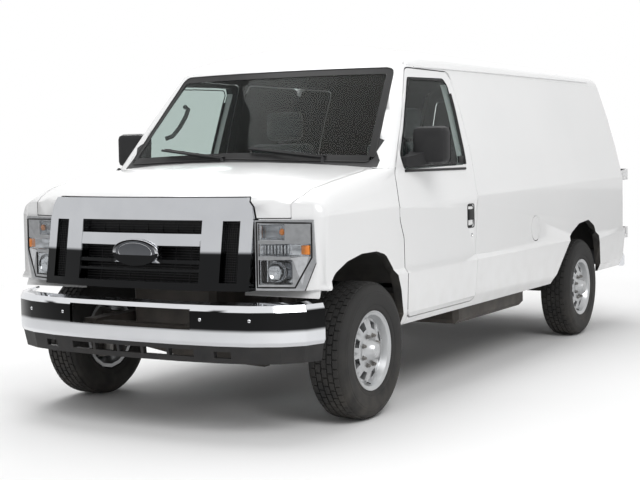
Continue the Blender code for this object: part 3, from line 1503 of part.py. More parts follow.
def build_driveline():
    shaft = rod("shaft", (0, REAR_AXLE_Y - 0.2618, 0.380), (0, GEARBOX_REAR_Y - 0.02, 0.470), 0.038, sides=16)
    engine = block("engine_block", (-0.27, -2.36, 0.42), (0.27, -1.72, 1.02), ALLOY, 0.03)
    gearbox = block("gearbox", (-0.17, -1.73, 0.40), (0.17, GEARBOX_REAR_Y, 0.595), bevel=0.02)
    mounts = both_sides("mount", (0.255, -2.10, 0.49), (FRAME_FRONT_RAIL[0][0] - SEAT_GAP, -2.00, 0.545))
    tidy(union(engine, gearbox, shaft, *mounts))
    tank = block("fuel_tank", (0.46, -0.55, 0.330), (0.86, 0.62, 0.6195), STEEL, 0.03)
    tidy(tank)
    path = smooth_line(
        [(-0.30, -1.60, 0.41), (-0.30, -0.90, 0.39), (-0.30, 0.20, 0.36), (-0.30, 0.85, 0.40),
         (-0.30, 1.35, 0.49), (-0.30, 1.62, 0.51), (-0.30, 2.00, 0.42), (-0.30, 2.62, 0.40)],
        13,
    )
    pipe = tube("exhaust", path, 0.030, STEEL, 2)
    muffler = block("muffler", (-0.335, -0.35, 0.30), (-0.17, 0.35, 0.43), bevel=0.03)
    hangers = [
        block("hanger", (-0.312, y - 0.010, 0.365), (-0.288, y + 0.010, RAIL_LOW_Z + 0.012 - SEAT_GAP)) for y in HANGER_YS
    ]
    tidy(union(pipe, muffler, *hangers))


GEARBOX_REAR_Y = -0.95
HANGER_YS = (0.500, 2.500)



# Cab fittings and outside trim

DASH = [(-1.50, 0.86), (-1.56, 1.10), (-1.55, 1.26), (-1.40, 1.33), (-1.22, 1.29), (-1.16, 1.16), (-1.20, 0.98), (-1.32, 0.86)]
DASH_X = 0.855
WHEEL_PIVOT = (0.420, -1.020, 1.215)
WHEEL_TILT = math.radians(28)
WHEEL_RING_R = 0.185
BOSS_FRONT = 0.012
SEAT_PLACES = ((0.440, "driver_seat"), (-0.440, "passenger_seat"))
MIRROR_HEAD = ((0.947, -1.365, 1.345), (1.152, -1.250, 1.556))
MIRROR_ROUND = 0.035
MIRROR_FOOT_X = 0.900
MIRROR_ARM = ((-1.470, 1.335, 1.385, 0.972), (-1.420, 1.330, 1.395, 1.000), (-1.330, 1.346, 1.420, 1.050))
MIRROR_FOOT_YS = (-1.60, -1.10)
MIRROR_FOOT_ZS = (1.25, GLASS_LOW_Z, 1.45, GLASS_MID_Z)


def build_dash():
    dash = prism("dashboard", rounded(DASH, 0.05), "x", -DASH_X, DASH_X, finish=TRIM)
    cover = block("engine_cover", (-0.185, -1.34, FLOOR_HIGH_Z + SEAT_GAP), (0.185, -0.86, 0.98), bevel=0.05)
    column = rod("column", column_point(-BOSS_FRONT - SEAT_GAP), column_point(-0.30), 0.032, sides=16)
    dash = union(dash, cover, column)
    tidy(dash)


def column_point(along):
    x, y, z = WHEEL_PIVOT
    return (x, y - math.cos(WHEEL_TILT) * -along * 1.0, z + math.sin(WHEEL_TILT) * along)


def build_steering_wheel():
    ring = []
    for k in range(21):
        turn = 2 * math.pi * k / 20
        ring.append((math.cos(turn), math.sin(turn)))
    bm = bmesh.new()
    rows = []
    for c, s in ring[:-1]:
        row = []
        for j in range(6):
            a = 2 * math.pi * j / 6
            r = WHEEL_RING_R + 0.015 * math.cos(a)
            row.append(bm.verts.new((r * c, r * s, 0.015 * math.sin(a))))
        rows.append(row)
    for k in range(20):
        for j in range(6):
            bm.faces.new((rows[k][j], rows[k][(j + 1) % 6], rows[(k + 1) % 20][(j + 1) % 6], rows[(k + 1) % 20][j]))
    wheel = from_bmesh(bm, "steering_wheel", BLACK)
    spokes = block("spoke", (-WHEEL_RING_R, -0.018, -0.014), (WHEEL_RING_R, 0.018, -0.002))
    low = block("spoke", (-0.018, -WHEEL_RING_R, -0.013), (0.018, 0.0, -0.003))
    boss = rod("boss", (0, 0, -0.028), (0, 0, BOSS_FRONT), 0.062, sides=16)
    wheel = union(wheel, spokes, low, boss)
    turn = Matrix.Rotation(-math.pi / 2 + WHEEL_TILT, 4, "X") @ Matrix.Rotation(math.pi, 4, "Y")
    wheel.data.transform(turn)
    wheel.location = WHEEL_PIVOT
    tidy(wheel)


def build_seats():
    for x, name in SEAT_PLACES:
        base = block(name, (x - 0.20, -0.98, FLOOR_HIGH_Z + SEAT_GAP), (x + 0.20, -0.56, 0.86), CLOTH)
        cushion = block("cushion", (x - 0.245, -1.03, 0.85), (x + 0.245, -0.50, 0.99), bevel=0.04)
        back = block("back", (x - 0.245, -0.56, 0.90), (x + 0.245, -0.40, 1.50), bevel=0.045)
        head = block("head", (x - 0.14, -0.50, 1.49), (x + 0.14, -0.39, 1.70), bevel=0.035)
        tidy(union(base, cushion, back, head))


def build_mirror(side, tag):
    """A rounded head beside the window, on an arm from the window's front corner."""
    low, high = MIRROR_HEAD
    head = block("door_mirror_" + tag, *sided(side, low, high), BLACK, MIRROR_ROUND, bends=2)
    rings = []
    for y, z_low, z_high, x_out in MIRROR_ARM:
        x_in = MIRROR_FOOT_X
        ring = [(side * x_in, y, z_low), (side * x_out, y, z_low), (side * x_out, y, z_high), (side * x_in, y, z_high)]
        rings.append(ring)
    mirror = cut(union(head, loft("arm", rings)), foot_room(side))
    moving(tidy(mirror), (side * DOOR_PIN_X, DOOR_PIN_Y, GLASS_LOW_Z))


def sided(side, low, high):
    """The corners of a block on the named side of the van."""
    return ordered((side * low[0], low[1], low[2]), (side * high[0], high[1], high[2]))


def foot_room(side):
    """The space inside the door's skin, so that the mirror's foot sits just on it."""
    front_y, rear_y = MIRROR_FOOT_YS
    rings = []
    for z in MIRROR_FOOT_ZS:
        x = side * (side_x(z, front_y) + SEAT_GAP)
        rings.append([(0.0, front_y, z), (x, front_y, z), (x, rear_y, z), (0.0, rear_y, z)])
    return loft("foot_room", rings, collection=CUTTERS)


def wipers():
    arms = []
    for x0, x1 in WIPER_ENDS:
        points = []
        for share in (0.0, 0.5, 1.0):
            x = between(x0, x1, share)
            z = between(WIPER_LOW_Z, WIPER_HIGH_Z, share)
            points.append((x, screen_y(x, z) - WIPER_PROUD, z))
        foot = (x0, cowl_line(x0) + WIPER_FOOT_IN, cowl_top(x0) - WIPER_FOOT_DEPTH)
        arms.append(tube("arm", points, WIPER_R, BLACK, 2))
        arms.append(rod("foot", points[0], foot, WIPER_FOOT_R, sides=10))
    return arms


# The whole van

build_hood()
build_screen()
build_cowl()
build_roof()
build_fenders()
build_sides()
build_front_doors()
build_rear_doors()
build_headlamps()
build_tail_lamps()
build_cargo_doors()
build_fuel_door()
build_grille()
build_bumpers()
for form in (OUTER, INNER, SHELL):
    bpy.data.objects.remove(form)
for side, tag in SIDES:
    build_wheel("front_" + tag, (side * FRONT_TRACK / 2, FRONT_AXLE_Y, WHEEL_Z), side)
    build_wheel("rear_" + tag, (side * REAR_TRACK / 2, REAR_AXLE_Y, WHEEL_Z), side)
    build_knuckle(side, tag)
build_frame()
build_floor()
build_front_axle()
build_rear_axle()
build_driveline()
build_dash()
build_steering_wheel()
build_seats()
for side, tag in SIDES:
    build_mirror(side, tag)
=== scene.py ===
import json
import math

import bpy
from mathutils import Matrix, Vector
from mathutils.bvhtree import BVHTree

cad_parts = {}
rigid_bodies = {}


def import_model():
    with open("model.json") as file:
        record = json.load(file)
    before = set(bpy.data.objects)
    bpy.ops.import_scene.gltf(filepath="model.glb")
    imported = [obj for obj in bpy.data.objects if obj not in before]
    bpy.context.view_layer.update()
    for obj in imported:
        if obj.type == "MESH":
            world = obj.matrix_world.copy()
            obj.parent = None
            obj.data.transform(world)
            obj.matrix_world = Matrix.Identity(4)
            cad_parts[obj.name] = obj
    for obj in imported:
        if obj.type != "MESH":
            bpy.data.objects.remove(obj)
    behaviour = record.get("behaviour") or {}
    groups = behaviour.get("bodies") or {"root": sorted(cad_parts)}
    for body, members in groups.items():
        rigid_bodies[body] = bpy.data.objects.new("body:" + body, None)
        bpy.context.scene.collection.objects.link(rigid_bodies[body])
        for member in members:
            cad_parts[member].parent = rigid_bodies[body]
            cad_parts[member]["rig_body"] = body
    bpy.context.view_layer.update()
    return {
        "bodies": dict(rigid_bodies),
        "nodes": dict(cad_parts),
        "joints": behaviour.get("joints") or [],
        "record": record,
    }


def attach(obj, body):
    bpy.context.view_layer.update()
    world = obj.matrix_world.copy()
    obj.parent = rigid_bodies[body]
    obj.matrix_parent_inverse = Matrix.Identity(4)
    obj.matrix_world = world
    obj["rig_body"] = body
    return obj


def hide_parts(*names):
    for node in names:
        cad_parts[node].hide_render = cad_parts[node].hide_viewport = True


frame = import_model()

scene = bpy.context.scene
nodes = frame["nodes"]
bothSides = ((1, "left"), (-1, "right"))

# camera: solved from the photo, metres and degrees
cameraSet = {"place": (4.1239, -7.9253, 1.4065), "azimuth": 29.9146, "elevation": 3.7929, "roll": -0.8817,
             "focalPixels": 1289.786, "imageWidth": 640, "sensor": 36.0}


def addCamera(s):
    a, e, r = (math.radians(s[k]) for k in ("azimuth", "elevation", "roll"))
    right = Vector((math.cos(a), math.sin(a), 0))
    back = Vector((math.sin(a) * math.cos(e), -math.cos(a) * math.cos(e), math.sin(e)))
    up = back.cross(right)
    right, up = math.cos(r) * right + math.sin(r) * up, -math.sin(r) * right + math.cos(r) * up
    data = bpy.data.cameras.new("photoCamera")
    data.sensor_width = s["sensor"]
    data.lens = s["focalPixels"] * s["sensor"] / s["imageWidth"]
    camera = bpy.data.objects.new("photoCamera", data)
    camera.matrix_world = Matrix((right, up, back)).transposed().to_4x4()
    camera.location = s["place"]
    scene.collection.objects.link(camera)
    scene.camera = camera


addCamera(cameraSet)
print("camera placed")

# ---- node groups shared by several materials


def newGroup(name, inputs, outputs):
    group = bpy.data.node_groups.new(name, "ShaderNodeTree")
    for label, kind, value in inputs:
        socket = group.interface.new_socket(label, in_out="INPUT", socket_type="NodeSocket" + kind)
        socket.default_value = value
    for label, kind in outputs:
        group.interface.new_socket(label, in_out="OUTPUT", socket_type="NodeSocket" + kind)
    tree = group.nodes
    return group, tree.new("NodeGroupInput"), tree.new("NodeGroupOutput")


def mixColour(tree, mode="MIX"):
    node = tree.new("ShaderNodeMix")
    node.data_type = "RGBA"
    node.blend_type = mode
    return node


def feed(link, socket, given):
    # a socket takes another socket's value or a plain one
    if isinstance(given, bpy.types.NodeSocket):
        link(given, socket)
    else:
        socket.default_value = given


def mapNode(tree, link, value, smooth=False, fromMin=0.0, fromMax=1.0, toMin=0.0, toMax=1.0):
    node = tree.new("ShaderNodeMapRange")
    if smooth:
        node.interpolation_type = "SMOOTHSTEP"
    for label, given in (("Value", value), ("From Min", fromMin), ("From Max", fromMax), ("To Min", toMin),
                         ("To Max", toMax)):
        feed(link, node.inputs[label], given)
    return node.outputs["Result"]


def mathNode(tree, link, operation, *given):
    node = tree.new("ShaderNodeMath")
    node.operation = operation
    for socket, value in zip(node.inputs, given):
        link(value, socket)
    return node.outputs["Value"]


def noiseNode(tree, link, coords, scale, detail=2.0):
    node = tree.new("ShaderNodeTexNoise")
    for label, given in (("Vector", coords), ("Scale", scale), ("Detail", detail)):
        feed(link, node.inputs[label], given)
    return node.outputs["Fac"]


def axisNode(tree, link, vector):
    node = tree.new("ShaderNodeSeparateXYZ")
    link(vector, node.inputs["Vector"])
    return node.outputs["Z"]


def groupNode(tree, group, **given):
    node = tree.new("ShaderNodeGroup")
    node.node_tree = group
    for label, value in given.items():
        node.inputs[label].default_value = value
    return node


def makeGrainGroup():
    # fine moulded or sprayed grain: a height and a value that varies slightly
    group, come, go = newGroup("grain", [("Scale", "Float", 300.0), ("Patch", "Float", 3.0)],
                               [("Height", "Float"), ("Value", "Float")])
    tree, link = group.nodes, group.links.new
    coords = tree.new("ShaderNodeTexCoord").outputs["Object"]
    link(noiseNode(tree, link, coords, come.outputs["Scale"], 3.0), go.inputs["Height"])
    link(noiseNode(tree, link, coords, come.outputs["Patch"], 4.0), go.inputs["Value"])
    return group


def makeDustGroup():
    # road dust that thickens towards the ground, broken up by noise
    group, come, go = newGroup("roadDust", [("Top", "Float", 0.9), ("Amount", "Float", 0.3)], [("Mask", "Float")])
    tree, link = group.nodes, group.links.new
    coords = tree.new("ShaderNodeTexCoord").outputs["Object"]
    height = mapNode(tree, link, axisNode(tree, link, coords), True, fromMax=come.outputs["Top"], toMin=1.0,
                     toMax=0.0)
    patches = mapNode(tree, link, noiseNode(tree, link, coords, 9.0, 6.0), fromMin=0.35, fromMax=0.75)
    both = mathNode(tree, link, "MULTIPLY", height, patches)
    link(mathNode(tree, link, "MULTIPLY", both, come.outputs["Amount"]), go.inputs["Mask"])
    return group


def makePaintedReflectionGroup():
    # painted reflection on a bright plate: an upright face is painted dark in a band of heights, as a reflected dark
    # horizon, and a leaning one stays bright
    labels = (("Dark", 0.05), ("Bright", 1.0), ("LeanLow", 0.05), ("LeanHigh", 0.2), ("LightZ", 0.5), ("DarkZ", 0.6))
    group, come, go = newGroup("plateTone", [(label, "Float", value) for label, value in labels],
                               [("Value", "Float")])
    tree, link = group.nodes, group.links.new
    coords, given = tree.new("ShaderNodeTexCoord").outputs, come.outputs
    lean = mathNode(tree, link, "ABSOLUTE", axisNode(tree, link, coords["Normal"]))
    upright = mapNode(tree, link, lean, True, given["LeanLow"], given["LeanHigh"], 1.0, 0.0)
    zone = mapNode(tree, link, axisNode(tree, link, coords["Object"]), True, given["LightZ"], given["DarkZ"])
    both = mathNode(tree, link, "MULTIPLY", upright, zone)
    link(mapNode(tree, link, both, toMin=given["Bright"], toMax=given["Dark"]), go.inputs["Value"])
    return group


grainGroup = makeGrainGroup()
dustGroup = makeDustGroup()
paintedReflectionGroup = makePaintedReflectionGroup()
dustColour = (0.33, 0.29, 0.24, 1.0)


def surface(name, colour, second, rough=(0.3, 0.4), metallic=0.0, grainScale=300.0, patchScale=3.0, bump=0.0,
            bumpDistance=0.0005, dust=0.0, dustTop=0.9, coat=0.0, coatRough=0.04, transmission=0.0, ior=1.45,
            sheen=0.0, specular=0.5, plate=None):
    # one Principled material: patchy colour between two tones, uneven roughness, fine bump, road dust and, where
    # given, a painted reflection
    made = bpy.data.materials.new(name)
    made.use_nodes = True
    tree, link = made.node_tree.nodes, made.node_tree.links.new
    shader = tree["Principled BSDF"]
    for label, value in (("Metallic", metallic), ("IOR", ior), ("Transmission Weight", transmission),
                         ("Coat Weight", coat), ("Coat Roughness", coatRough), ("Sheen Weight", sheen),
                         ("Specular IOR Level", specular)):
        shader.inputs[label].default_value = value
    grain = groupNode(tree, grainGroup, Scale=grainScale, Patch=patchScale)
    tint = mixColour(tree)
    tint.inputs["A"].default_value = (*colour, 1.0)
    tint.inputs["B"].default_value = (*second, 1.0)
    link(grain.outputs["Value"], tint.inputs["Factor"])
    last = tint.outputs["Result"]
    if dust:
        dirty = mixColour(tree)
        dirty.inputs["B"].default_value = dustColour
        link(groupNode(tree, dustGroup, Amount=dust, Top=dustTop).outputs["Mask"], dirty.inputs["Factor"])
        link(last, dirty.inputs["A"])
        last = dirty.outputs["Result"]
    # painted reflection: the colour is multiplied by dark and bright bands that follow height and lean
    if plate:
        tone = groupNode(tree, paintedReflectionGroup, **plate)
        shade = mixColour(tree, "MULTIPLY")
        shade.inputs["Factor"].default_value = 1.0
        link(last, shade.inputs["A"])
        link(tone.outputs["Value"], shade.inputs["B"])
        last = shade.outputs["Result"]
    link(last, shader.inputs["Base Color"])
    link(mapNode(tree, link, grain.outputs["Value"], toMin=rough[0], toMax=rough[1]), shader.inputs["Roughness"])
    if bump:
        dent = tree.new("ShaderNodeBump")
        dent.inputs["Strength"].default_value = bump
        dent.inputs["Distance"].default_value = bumpDistance
        link(grain.outputs["Height"], dent.inputs["Height"])
        link(dent.outputs["Normal"], shader.inputs["Normal"])
    return made


paintWhite = surface("paintWhite", (0.80, 0.80, 0.80), (0.74, 0.745, 0.75), (0.20, 0.30), grainScale=700.0,
                     patchScale=1.6, bump=0.04, dust=0.25, dustTop=0.95, coat=0.6)
# chrome with a painted reflection: upright faces are dark in a band of heights and leaning faces are painted brighter
brightChrome = surface("brightChrome", (0.66, 0.67, 0.69), (0.58, 0.59, 0.61), (0.06, 0.14), metallic=1.0,
                       grainScale=420.0, patchScale=7.0, bump=0.02, dust=0.12, dustTop=0.75,
                       plate={"Dark": 0.025, "Bright": 1.15, "LeanLow": 0.05, "LeanHigh": 0.20, "LightZ": 0.535,
                              "DarkZ": 0.556})
# the grille's chrome with a painted reflection: upright faces are dark below a height, as a reflected dark ground
grilleChrome = surface("grilleChrome", (0.52, 0.53, 0.55), (0.42, 0.43, 0.45), (0.10, 0.18), metallic=1.0,
                       grainScale=420.0, patchScale=5.0, bump=0.02,
                       plate={"Dark": 0.035, "Bright": 1.10, "LeanLow": 0.28, "LeanHigh": 0.42, "LightZ": 0.935,
                              "DarkZ": 0.915})
# near-black lining on faces that look into the van: dark cab trim, and painted shade in the load area
cabLining = surface("cabLining", (0.050, 0.051, 0.053), (0.070, 0.071, 0.073), (0.65, 0.8),
                    grainScale=900.0, patchScale=5.0, bump=0.3)
archLining = surface("archLining", (0.014, 0.014, 0.014), (0.028, 0.026, 0.024), (0.7, 0.85),
                     grainScale=500.0, patchScale=11.0, bump=0.4, dust=0.3, dustTop=1.1)
blackPlastic = surface("blackPlastic", (0.016, 0.016, 0.017), (0.030, 0.030, 0.031), (0.42, 0.60),
                       grainScale=900.0, patchScale=14.0, bump=0.35, dust=0.08, dustTop=0.9, specular=0.25)
satinBlack = surface("satinBlack", (0.008, 0.008, 0.009), (0.018, 0.018, 0.018), (0.30, 0.45),
                     grainScale=600.0, patchScale=9.0, bump=0.08, specular=0.18)
sealRubber = surface("sealRubber", (0.012, 0.012, 0.012), (0.024, 0.024, 0.024), (0.6, 0.8),
                     grainScale=1200.0, patchScale=20.0, bump=0.2)
blackSteel = surface("blackSteel", (0.030, 0.029, 0.028), (0.065, 0.055, 0.048), (0.45, 0.7), metallic=0.3,
                     grainScale=220.0, patchScale=12.0, bump=0.3, dust=0.25, dustTop=1.1)
castMetal = surface("castMetal", (0.28, 0.28, 0.28), (0.19, 0.18, 0.17), (0.4, 0.6), metallic=0.8,
                    grainScale=260.0, patchScale=16.0, bump=0.4, dust=0.4, dustTop=1.1)
wheelSilver = surface("wheelSilver", (0.52, 0.53, 0.54), (0.44, 0.45, 0.46), (0.24, 0.36), metallic=0.7,
                      grainScale=800.0, patchScale=10.0, bump=0.05, dust=0.22, dustTop=0.7)
tyreRubber = surface("tyreRubber", (0.018, 0.018, 0.018), (0.036, 0.035, 0.034), (0.62, 0.82),
                     grainScale=700.0, patchScale=9.0, bump=0.3, dust=0.12, dustTop=0.5, specular=0.3)
screenGlass = surface("screenGlass", (0.66, 0.72, 0.70), (0.62, 0.69, 0.67), (0.0, 0.015), grainScale=30.0,
                      patchScale=1.5, transmission=1.0, ior=1.12)
lensClear = surface("lensClear", (0.93, 0.94, 0.95), (0.88, 0.90, 0.91), (0.0, 0.03), grainScale=60.0,
                    patchScale=4.0, transmission=1.0, ior=1.35)
lensAmber = surface("lensAmber", (0.80, 0.26, 0.03), (0.66, 0.18, 0.02), (0.08, 0.16), grainScale=90.0,
                    patchScale=20.0, bump=0.1, coat=0.5)
lensRed = surface("lensRed", (0.42, 0.012, 0.012), (0.30, 0.008, 0.010), (0.08, 0.16), grainScale=90.0,
                  patchScale=20.0, bump=0.15, coat=0.6)
lampMirror = surface("lampMirror", (0.62, 0.63, 0.65), (0.30, 0.31, 0.32), (0.06, 0.16), metallic=1.0,
                     grainScale=160.0, patchScale=30.0, bump=0.25)
greyTrim = surface("greyTrim", (0.085, 0.088, 0.090), (0.115, 0.118, 0.120), (0.6, 0.75), grainScale=1100.0,
                   patchScale=6.0, bump=0.4)
floorMat = surface("floorMat", (0.045, 0.045, 0.046), (0.075, 0.073, 0.070), (0.7, 0.9), grainScale=500.0,
                   patchScale=5.0, bump=0.5, dust=0.3, dustTop=0.9)

badgeDark = surface("badgeDark", (0.030, 0.034, 0.042), (0.045, 0.050, 0.060), (0.16, 0.26),
                    grainScale=500.0, patchScale=12.0, bump=0.03, coat=0.7)
mirrorFace = surface("mirrorFace", (0.78, 0.79, 0.80), (0.74, 0.75, 0.76), (0.01, 0.03), metallic=1.0,
                     grainScale=40.0, patchScale=2.0)
seatCloth = surface("seatCloth", (0.070, 0.073, 0.077), (0.105, 0.108, 0.113), (0.85, 0.97), grainScale=1500.0,
                    patchScale=24.0, bump=0.7, bumpDistance=0.001, sheen=0.3)

nodeFinish = {
    paintWhite: ("body_side_left", "body_side_right", "cargo_door_front", "cargo_door_rear", "fender_left",
                 "fender_right", "front_door_left", "front_door_right", "fuel_door", "hood", "rear_door_left",
                 "rear_door_right", "roof_panel"),
    brightChrome: ("front_bumper", "rear_bumper"),
    grilleChrome: ("grille",),
    blackPlastic: ("cowl", "front_valance", "door_mirror_left", "door_mirror_right"),
    satinBlack: ("steering_wheel",),
    blackSteel: ("chassis_frame", "engine_block", "front_axle", "rear_axle", "exhaust", "fuel_tank"),
    castMetal: ("knuckle_left", "knuckle_right"),
    wheelSilver: ("rim_front_left", "rim_front_right", "rim_rear_left", "rim_rear_right"),
    tyreRubber: ("tyre_front_left", "tyre_front_right", "tyre_rear_left", "tyre_rear_right"),
    screenGlass: ("windshield", "door_glass_left", "door_glass_right"),
    lensClear: ("headlamp_left", "headlamp_right"),
    lensRed: ("tail_lamp_left", "tail_lamp_right"),
    greyTrim: ("dashboard", "driver_seat", "passenger_seat"),
    floorMat: ("floor_pan",),
}
for finish, names in nodeFinish.items():
    for name in names:
        if not nodes[name].material_slots:
            nodes[name].data.materials.append(finish)
        for place in nodes[name].material_slots:
            place.material = finish
print("frame nodes finished")


# ---- tools for making pieces


def deselectAll():
    if bpy.context.object and bpy.context.object.mode != "OBJECT":
        bpy.ops.object.mode_set(mode="OBJECT")
    bpy.ops.object.select_all(action="DESELECT")


def makeActive(piece):
    deselectAll()
    piece.select_set(True)
    bpy.context.view_layer.objects.active = piece


def editAll(piece):
    # into edit mode with the whole mesh selected
    makeActive(piece)
    bpy.ops.object.mode_set(mode="EDIT")
    bpy.ops.mesh.select_all(action="SELECT")


def leaveEdit():
    bpy.ops.object.mode_set(mode="OBJECT")


def facesOut():
    bpy.ops.mesh.select_all(action="SELECT")
    bpy.ops.mesh.normals_make_consistent(inside=False)
    leaveEdit()


def placeInMesh():
    bpy.ops.object.transform_apply(location=True, rotation=True, scale=True)


def bodyOf(node):
    return nodes[node]["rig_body"]


def settle(piece, name, finish, body, smooth=35.0):
    # names the piece, puts its place into its mesh, shades it and lets it ride
    makeActive(piece)
    piece.name = piece.data.name = name
    placeInMesh()
    if finish:
        piece.data.materials.clear()
        piece.data.materials.append(finish)
    if smooth:
        bpy.ops.object.shade_smooth_by_angle(angle=math.radians(smooth))
    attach(piece, body)
    return piece


def addModifier(piece, kind, **values):
    makeActive(piece)
    step = piece.modifiers.new(kind.lower(), kind)
    for key, value in values.items():
        setattr(step, key, value)
    bpy.ops.object.modifier_apply(modifier=step.name)
    return piece


def looseCopy(node, name, quads=True):
    # a merged copy of a CAD node, made of quads where it is flat
    piece = bpy.data.objects.new(name, nodes[node].data.copy())
    scene.collection.objects.link(piece)
    editAll(piece)
    bpy.ops.mesh.remove_doubles(threshold=0.00005)
    if quads:
        bpy.ops.mesh.tris_convert_to_quads(face_threshold=math.radians(8), shape_threshold=math.radians(60))
    leaveEdit()
    return piece


def lineFaces(piece, finish, chosen):
    # a second finish on the faces that a test picks
    piece.data.materials.append(finish)
    last = len(piece.data.materials) - 1
    for face in piece.data.polygons:
        if chosen(face.center, face.normal):
            face.material_index = last


def smoothCopy(node, finish, name, angle=32.0, quads=True):
    # a CAD panel shaded smooth, which stands for the node
    piece = settle(looseCopy(node, name, quads), name, finish, bodyOf(node), angle)
    addModifier(piece, "WEIGHTED_NORMAL", keep_sharp=True, weight=60, mode="FACE_AREA_WITH_ANGLE")
    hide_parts(node)
    return piece


def spanOf(low, high):
    return [(a + b) / 2 for a, b in zip(low, high)], [abs(b - a) for a, b in zip(low, high)]


def addBlock(low, high, bevel=0.0, segments=2):
    deselectAll()
    middle, size = spanOf(low, high)
    bpy.ops.mesh.primitive_cube_add(size=1, location=middle, scale=size)
    piece = bpy.context.object
    placeInMesh()
    if bevel:
        addModifier(piece, "BEVEL", width=bevel, segments=segments, limit_method="ANGLE")
    return piece


def addRod(start, end, radius, sides=24, bevel=0.0):
    deselectAll()
    way = Vector(end) - Vector(start)
    bpy.ops.mesh.primitive_cylinder_add(vertices=sides, radius=radius, depth=way.length,
                                        location=(Vector(start) + Vector(end)) / 2,
                                        rotation=way.to_track_quat("Z", "Y").to_euler())
    piece = bpy.context.object
    placeInMesh()
    if bevel:
        addModifier(piece, "BEVEL", width=bevel, segments=2, limit_method="ANGLE")
    return piece


def addBall(centre, radius, scale=(1, 1, 1), segments=24):
    deselectAll()
    bpy.ops.mesh.primitive_uv_sphere_add(segments=segments, ring_count=segments // 2, radius=radius, location=centre,
                                         scale=scale)
    return bpy.context.object


def startLine(points):
    # one vertex, extruded from point to point
    deselectAll()
    bpy.ops.mesh.primitive_plane_add(size=0.01, location=points[0])
    piece = bpy.context.object
    placeInMesh()
    editAll(piece)
    bpy.ops.mesh.merge(type="CENTER")
    for last, point in zip(points, points[1:]):
        bpy.ops.mesh.extrude_region_move(TRANSFORM_OT_translate={"value": Vector(point) - Vector(last)})
    leaveEdit()
    return piece


def turnLine(points, centre, axis, steps):
    # the line spun once around an axis
    piece = startLine(points)
    editAll(piece)
    bpy.ops.mesh.spin(steps=steps, angle=math.tau, center=centre, axis=axis)
    bpy.ops.mesh.select_all(action="SELECT")
    bpy.ops.mesh.remove_doubles(threshold=0.00002)
    facesOut()
    return piece


def addWire(points, radius, closed=False, roundness=2):
    data = bpy.data.curves.new("wire", "CURVE")
    data.dimensions = "3D"
    data.bevel_depth = radius
    data.bevel_resolution = roundness
    data.use_fill_caps = not closed
    line = data.splines.new("POLY")
    line.points.add(len(points) - 1)
    for spot, point in zip(line.points, points):
        spot.co = (*point, 1.0)
    line.use_cyclic_u = closed
    piece = bpy.data.objects.new("wire", data)
    scene.collection.objects.link(piece)
    makeActive(piece)
    bpy.ops.object.convert(target="MESH")
    return bpy.context.object


def joinAll(pieces):
    makeActive(pieces[0])
    for piece in pieces[1:]:
        piece.select_set(True)
    if len(pieces) > 1:
        bpy.ops.object.join()
    return bpy.context.object


def turnAbout(piece, angle, axis, centre):
    # turns the whole mesh about a point, in edit mode
    editAll(piece)
    bpy.ops.transform.rotate(value=-math.radians(angle), orient_axis=axis, center_override=centre)
    leaveEdit()
    return piece


def copyOf(piece, move=(0, 0, 0)):
    # a copy with its own mesh, moved
    twin = piece.copy()
    twin.data = piece.data.copy()
    scene.collection.objects.link(twin)
    twin.location = Vector(twin.location) + Vector(move)
    makeActive(twin)
    placeInMesh()
    return twin


def cutWith(piece, cutter):
    addModifier(piece, "BOOLEAN", object=cutter, operation="DIFFERENCE", solver="EXACT")
    bpy.data.objects.remove(cutter)
    return piece


skins = {}
rayStart = {"ends": 4, "sides": 1.4}  # how far out a line towards the van starts


def skinPoint(node, start, way, lift=0.0):
    # where a straight line first meets a CAD node, lifted off its surface
    if node not in skins:
        source = nodes[node]
        mesh = source.data
        skins[node] = BVHTree.FromPolygons([source.matrix_world @ v.co for v in mesh.vertices],
                                           [tuple(p.vertices) for p in mesh.polygons])
    way = Vector(way).normalized()
    spot = skins[node].ray_cast(Vector(start), way)[0]
    return None if spot is None else spot - way * lift


def frontPoint(node, x, z, lift=0.0):
    return skinPoint(node, (x, -rayStart["ends"], z), (0, 1, 0), lift)


def rearPoint(node, x, z, lift=0.0):
    return skinPoint(node, (x, rayStart["ends"], z), (0, -1, 0), lift)


def sidePoint(node, side, y, z, lift=0.0):
    return skinPoint(node, (side * rayStart["sides"], y, z), (-side, 0, 0), lift)


def roundedLoop(corners, radius, steps=5):
    # a closed flat outline with its corners rounded
    points = []
    for k, corner in enumerate(corners):
        here, last, ahead = Vector(corner), Vector(corners[k - 1]), Vector(corners[(k + 1) % len(corners)])
        reach = min(radius, (last - here).length * 0.45, (ahead - here).length * 0.45)
        a, b = here + (last - here).normalized() * reach, here + (ahead - here).normalized() * reach
        for j in range(steps + 1):
            t = j / steps
            points.append(tuple((1 - t) ** 2 * a + 2 * t * (1 - t) * here + t * t * b))
    return points


def insetLoop(points, distance):
    # the same closed outline moved towards its middle by a distance
    moved = []
    count = len(points)
    turn = sum(points[k][0] * points[(k + 1) % count][1] - points[(k + 1) % count][0] * points[k][1]
               for k in range(count))
    for k in range(count):
        ahead = Vector(points[(k + 1) % count]) - Vector(points[k - 1])
        side = Vector((-ahead.y, ahead.x)).normalized() * math.copysign(distance, turn)
        moved.append(tuple(Vector(points[k]) + side))
    return moved


def denseLoop(points, gap):
    # the same closed outline with points no further apart than a gap
    dense = []
    for k, point in enumerate(points):
        ahead = Vector(points[(k + 1) % len(points)])
        steps = max(1, math.ceil((ahead - Vector(point)).length / gap))
        dense += [tuple(Vector(point).lerp(ahead, j / steps)) for j in range(steps)]
    return dense


def rimOn(node, loop, behind, radius, name, finish):
    # a bright wire around an opening: each point moves outwards until it meets the node's front
    spots, rings = [], [insetLoop(loop, -reach) for reach in (0.002, 0.005, 0.008, 0.012, 0.016, 0.022, 0.030)]
    for k in range(len(loop)):
        hits = [frontPoint(node, ring[k][0], ring[k][1]) for ring in rings]
        spots += [p for p in hits if p is not None and p.y < behind][:1]
    if len(spots) > len(loop) / 2:
        settle(addWire(spots, radius, closed=True, roundness=3), name, finish, bodyOf(node), 60)


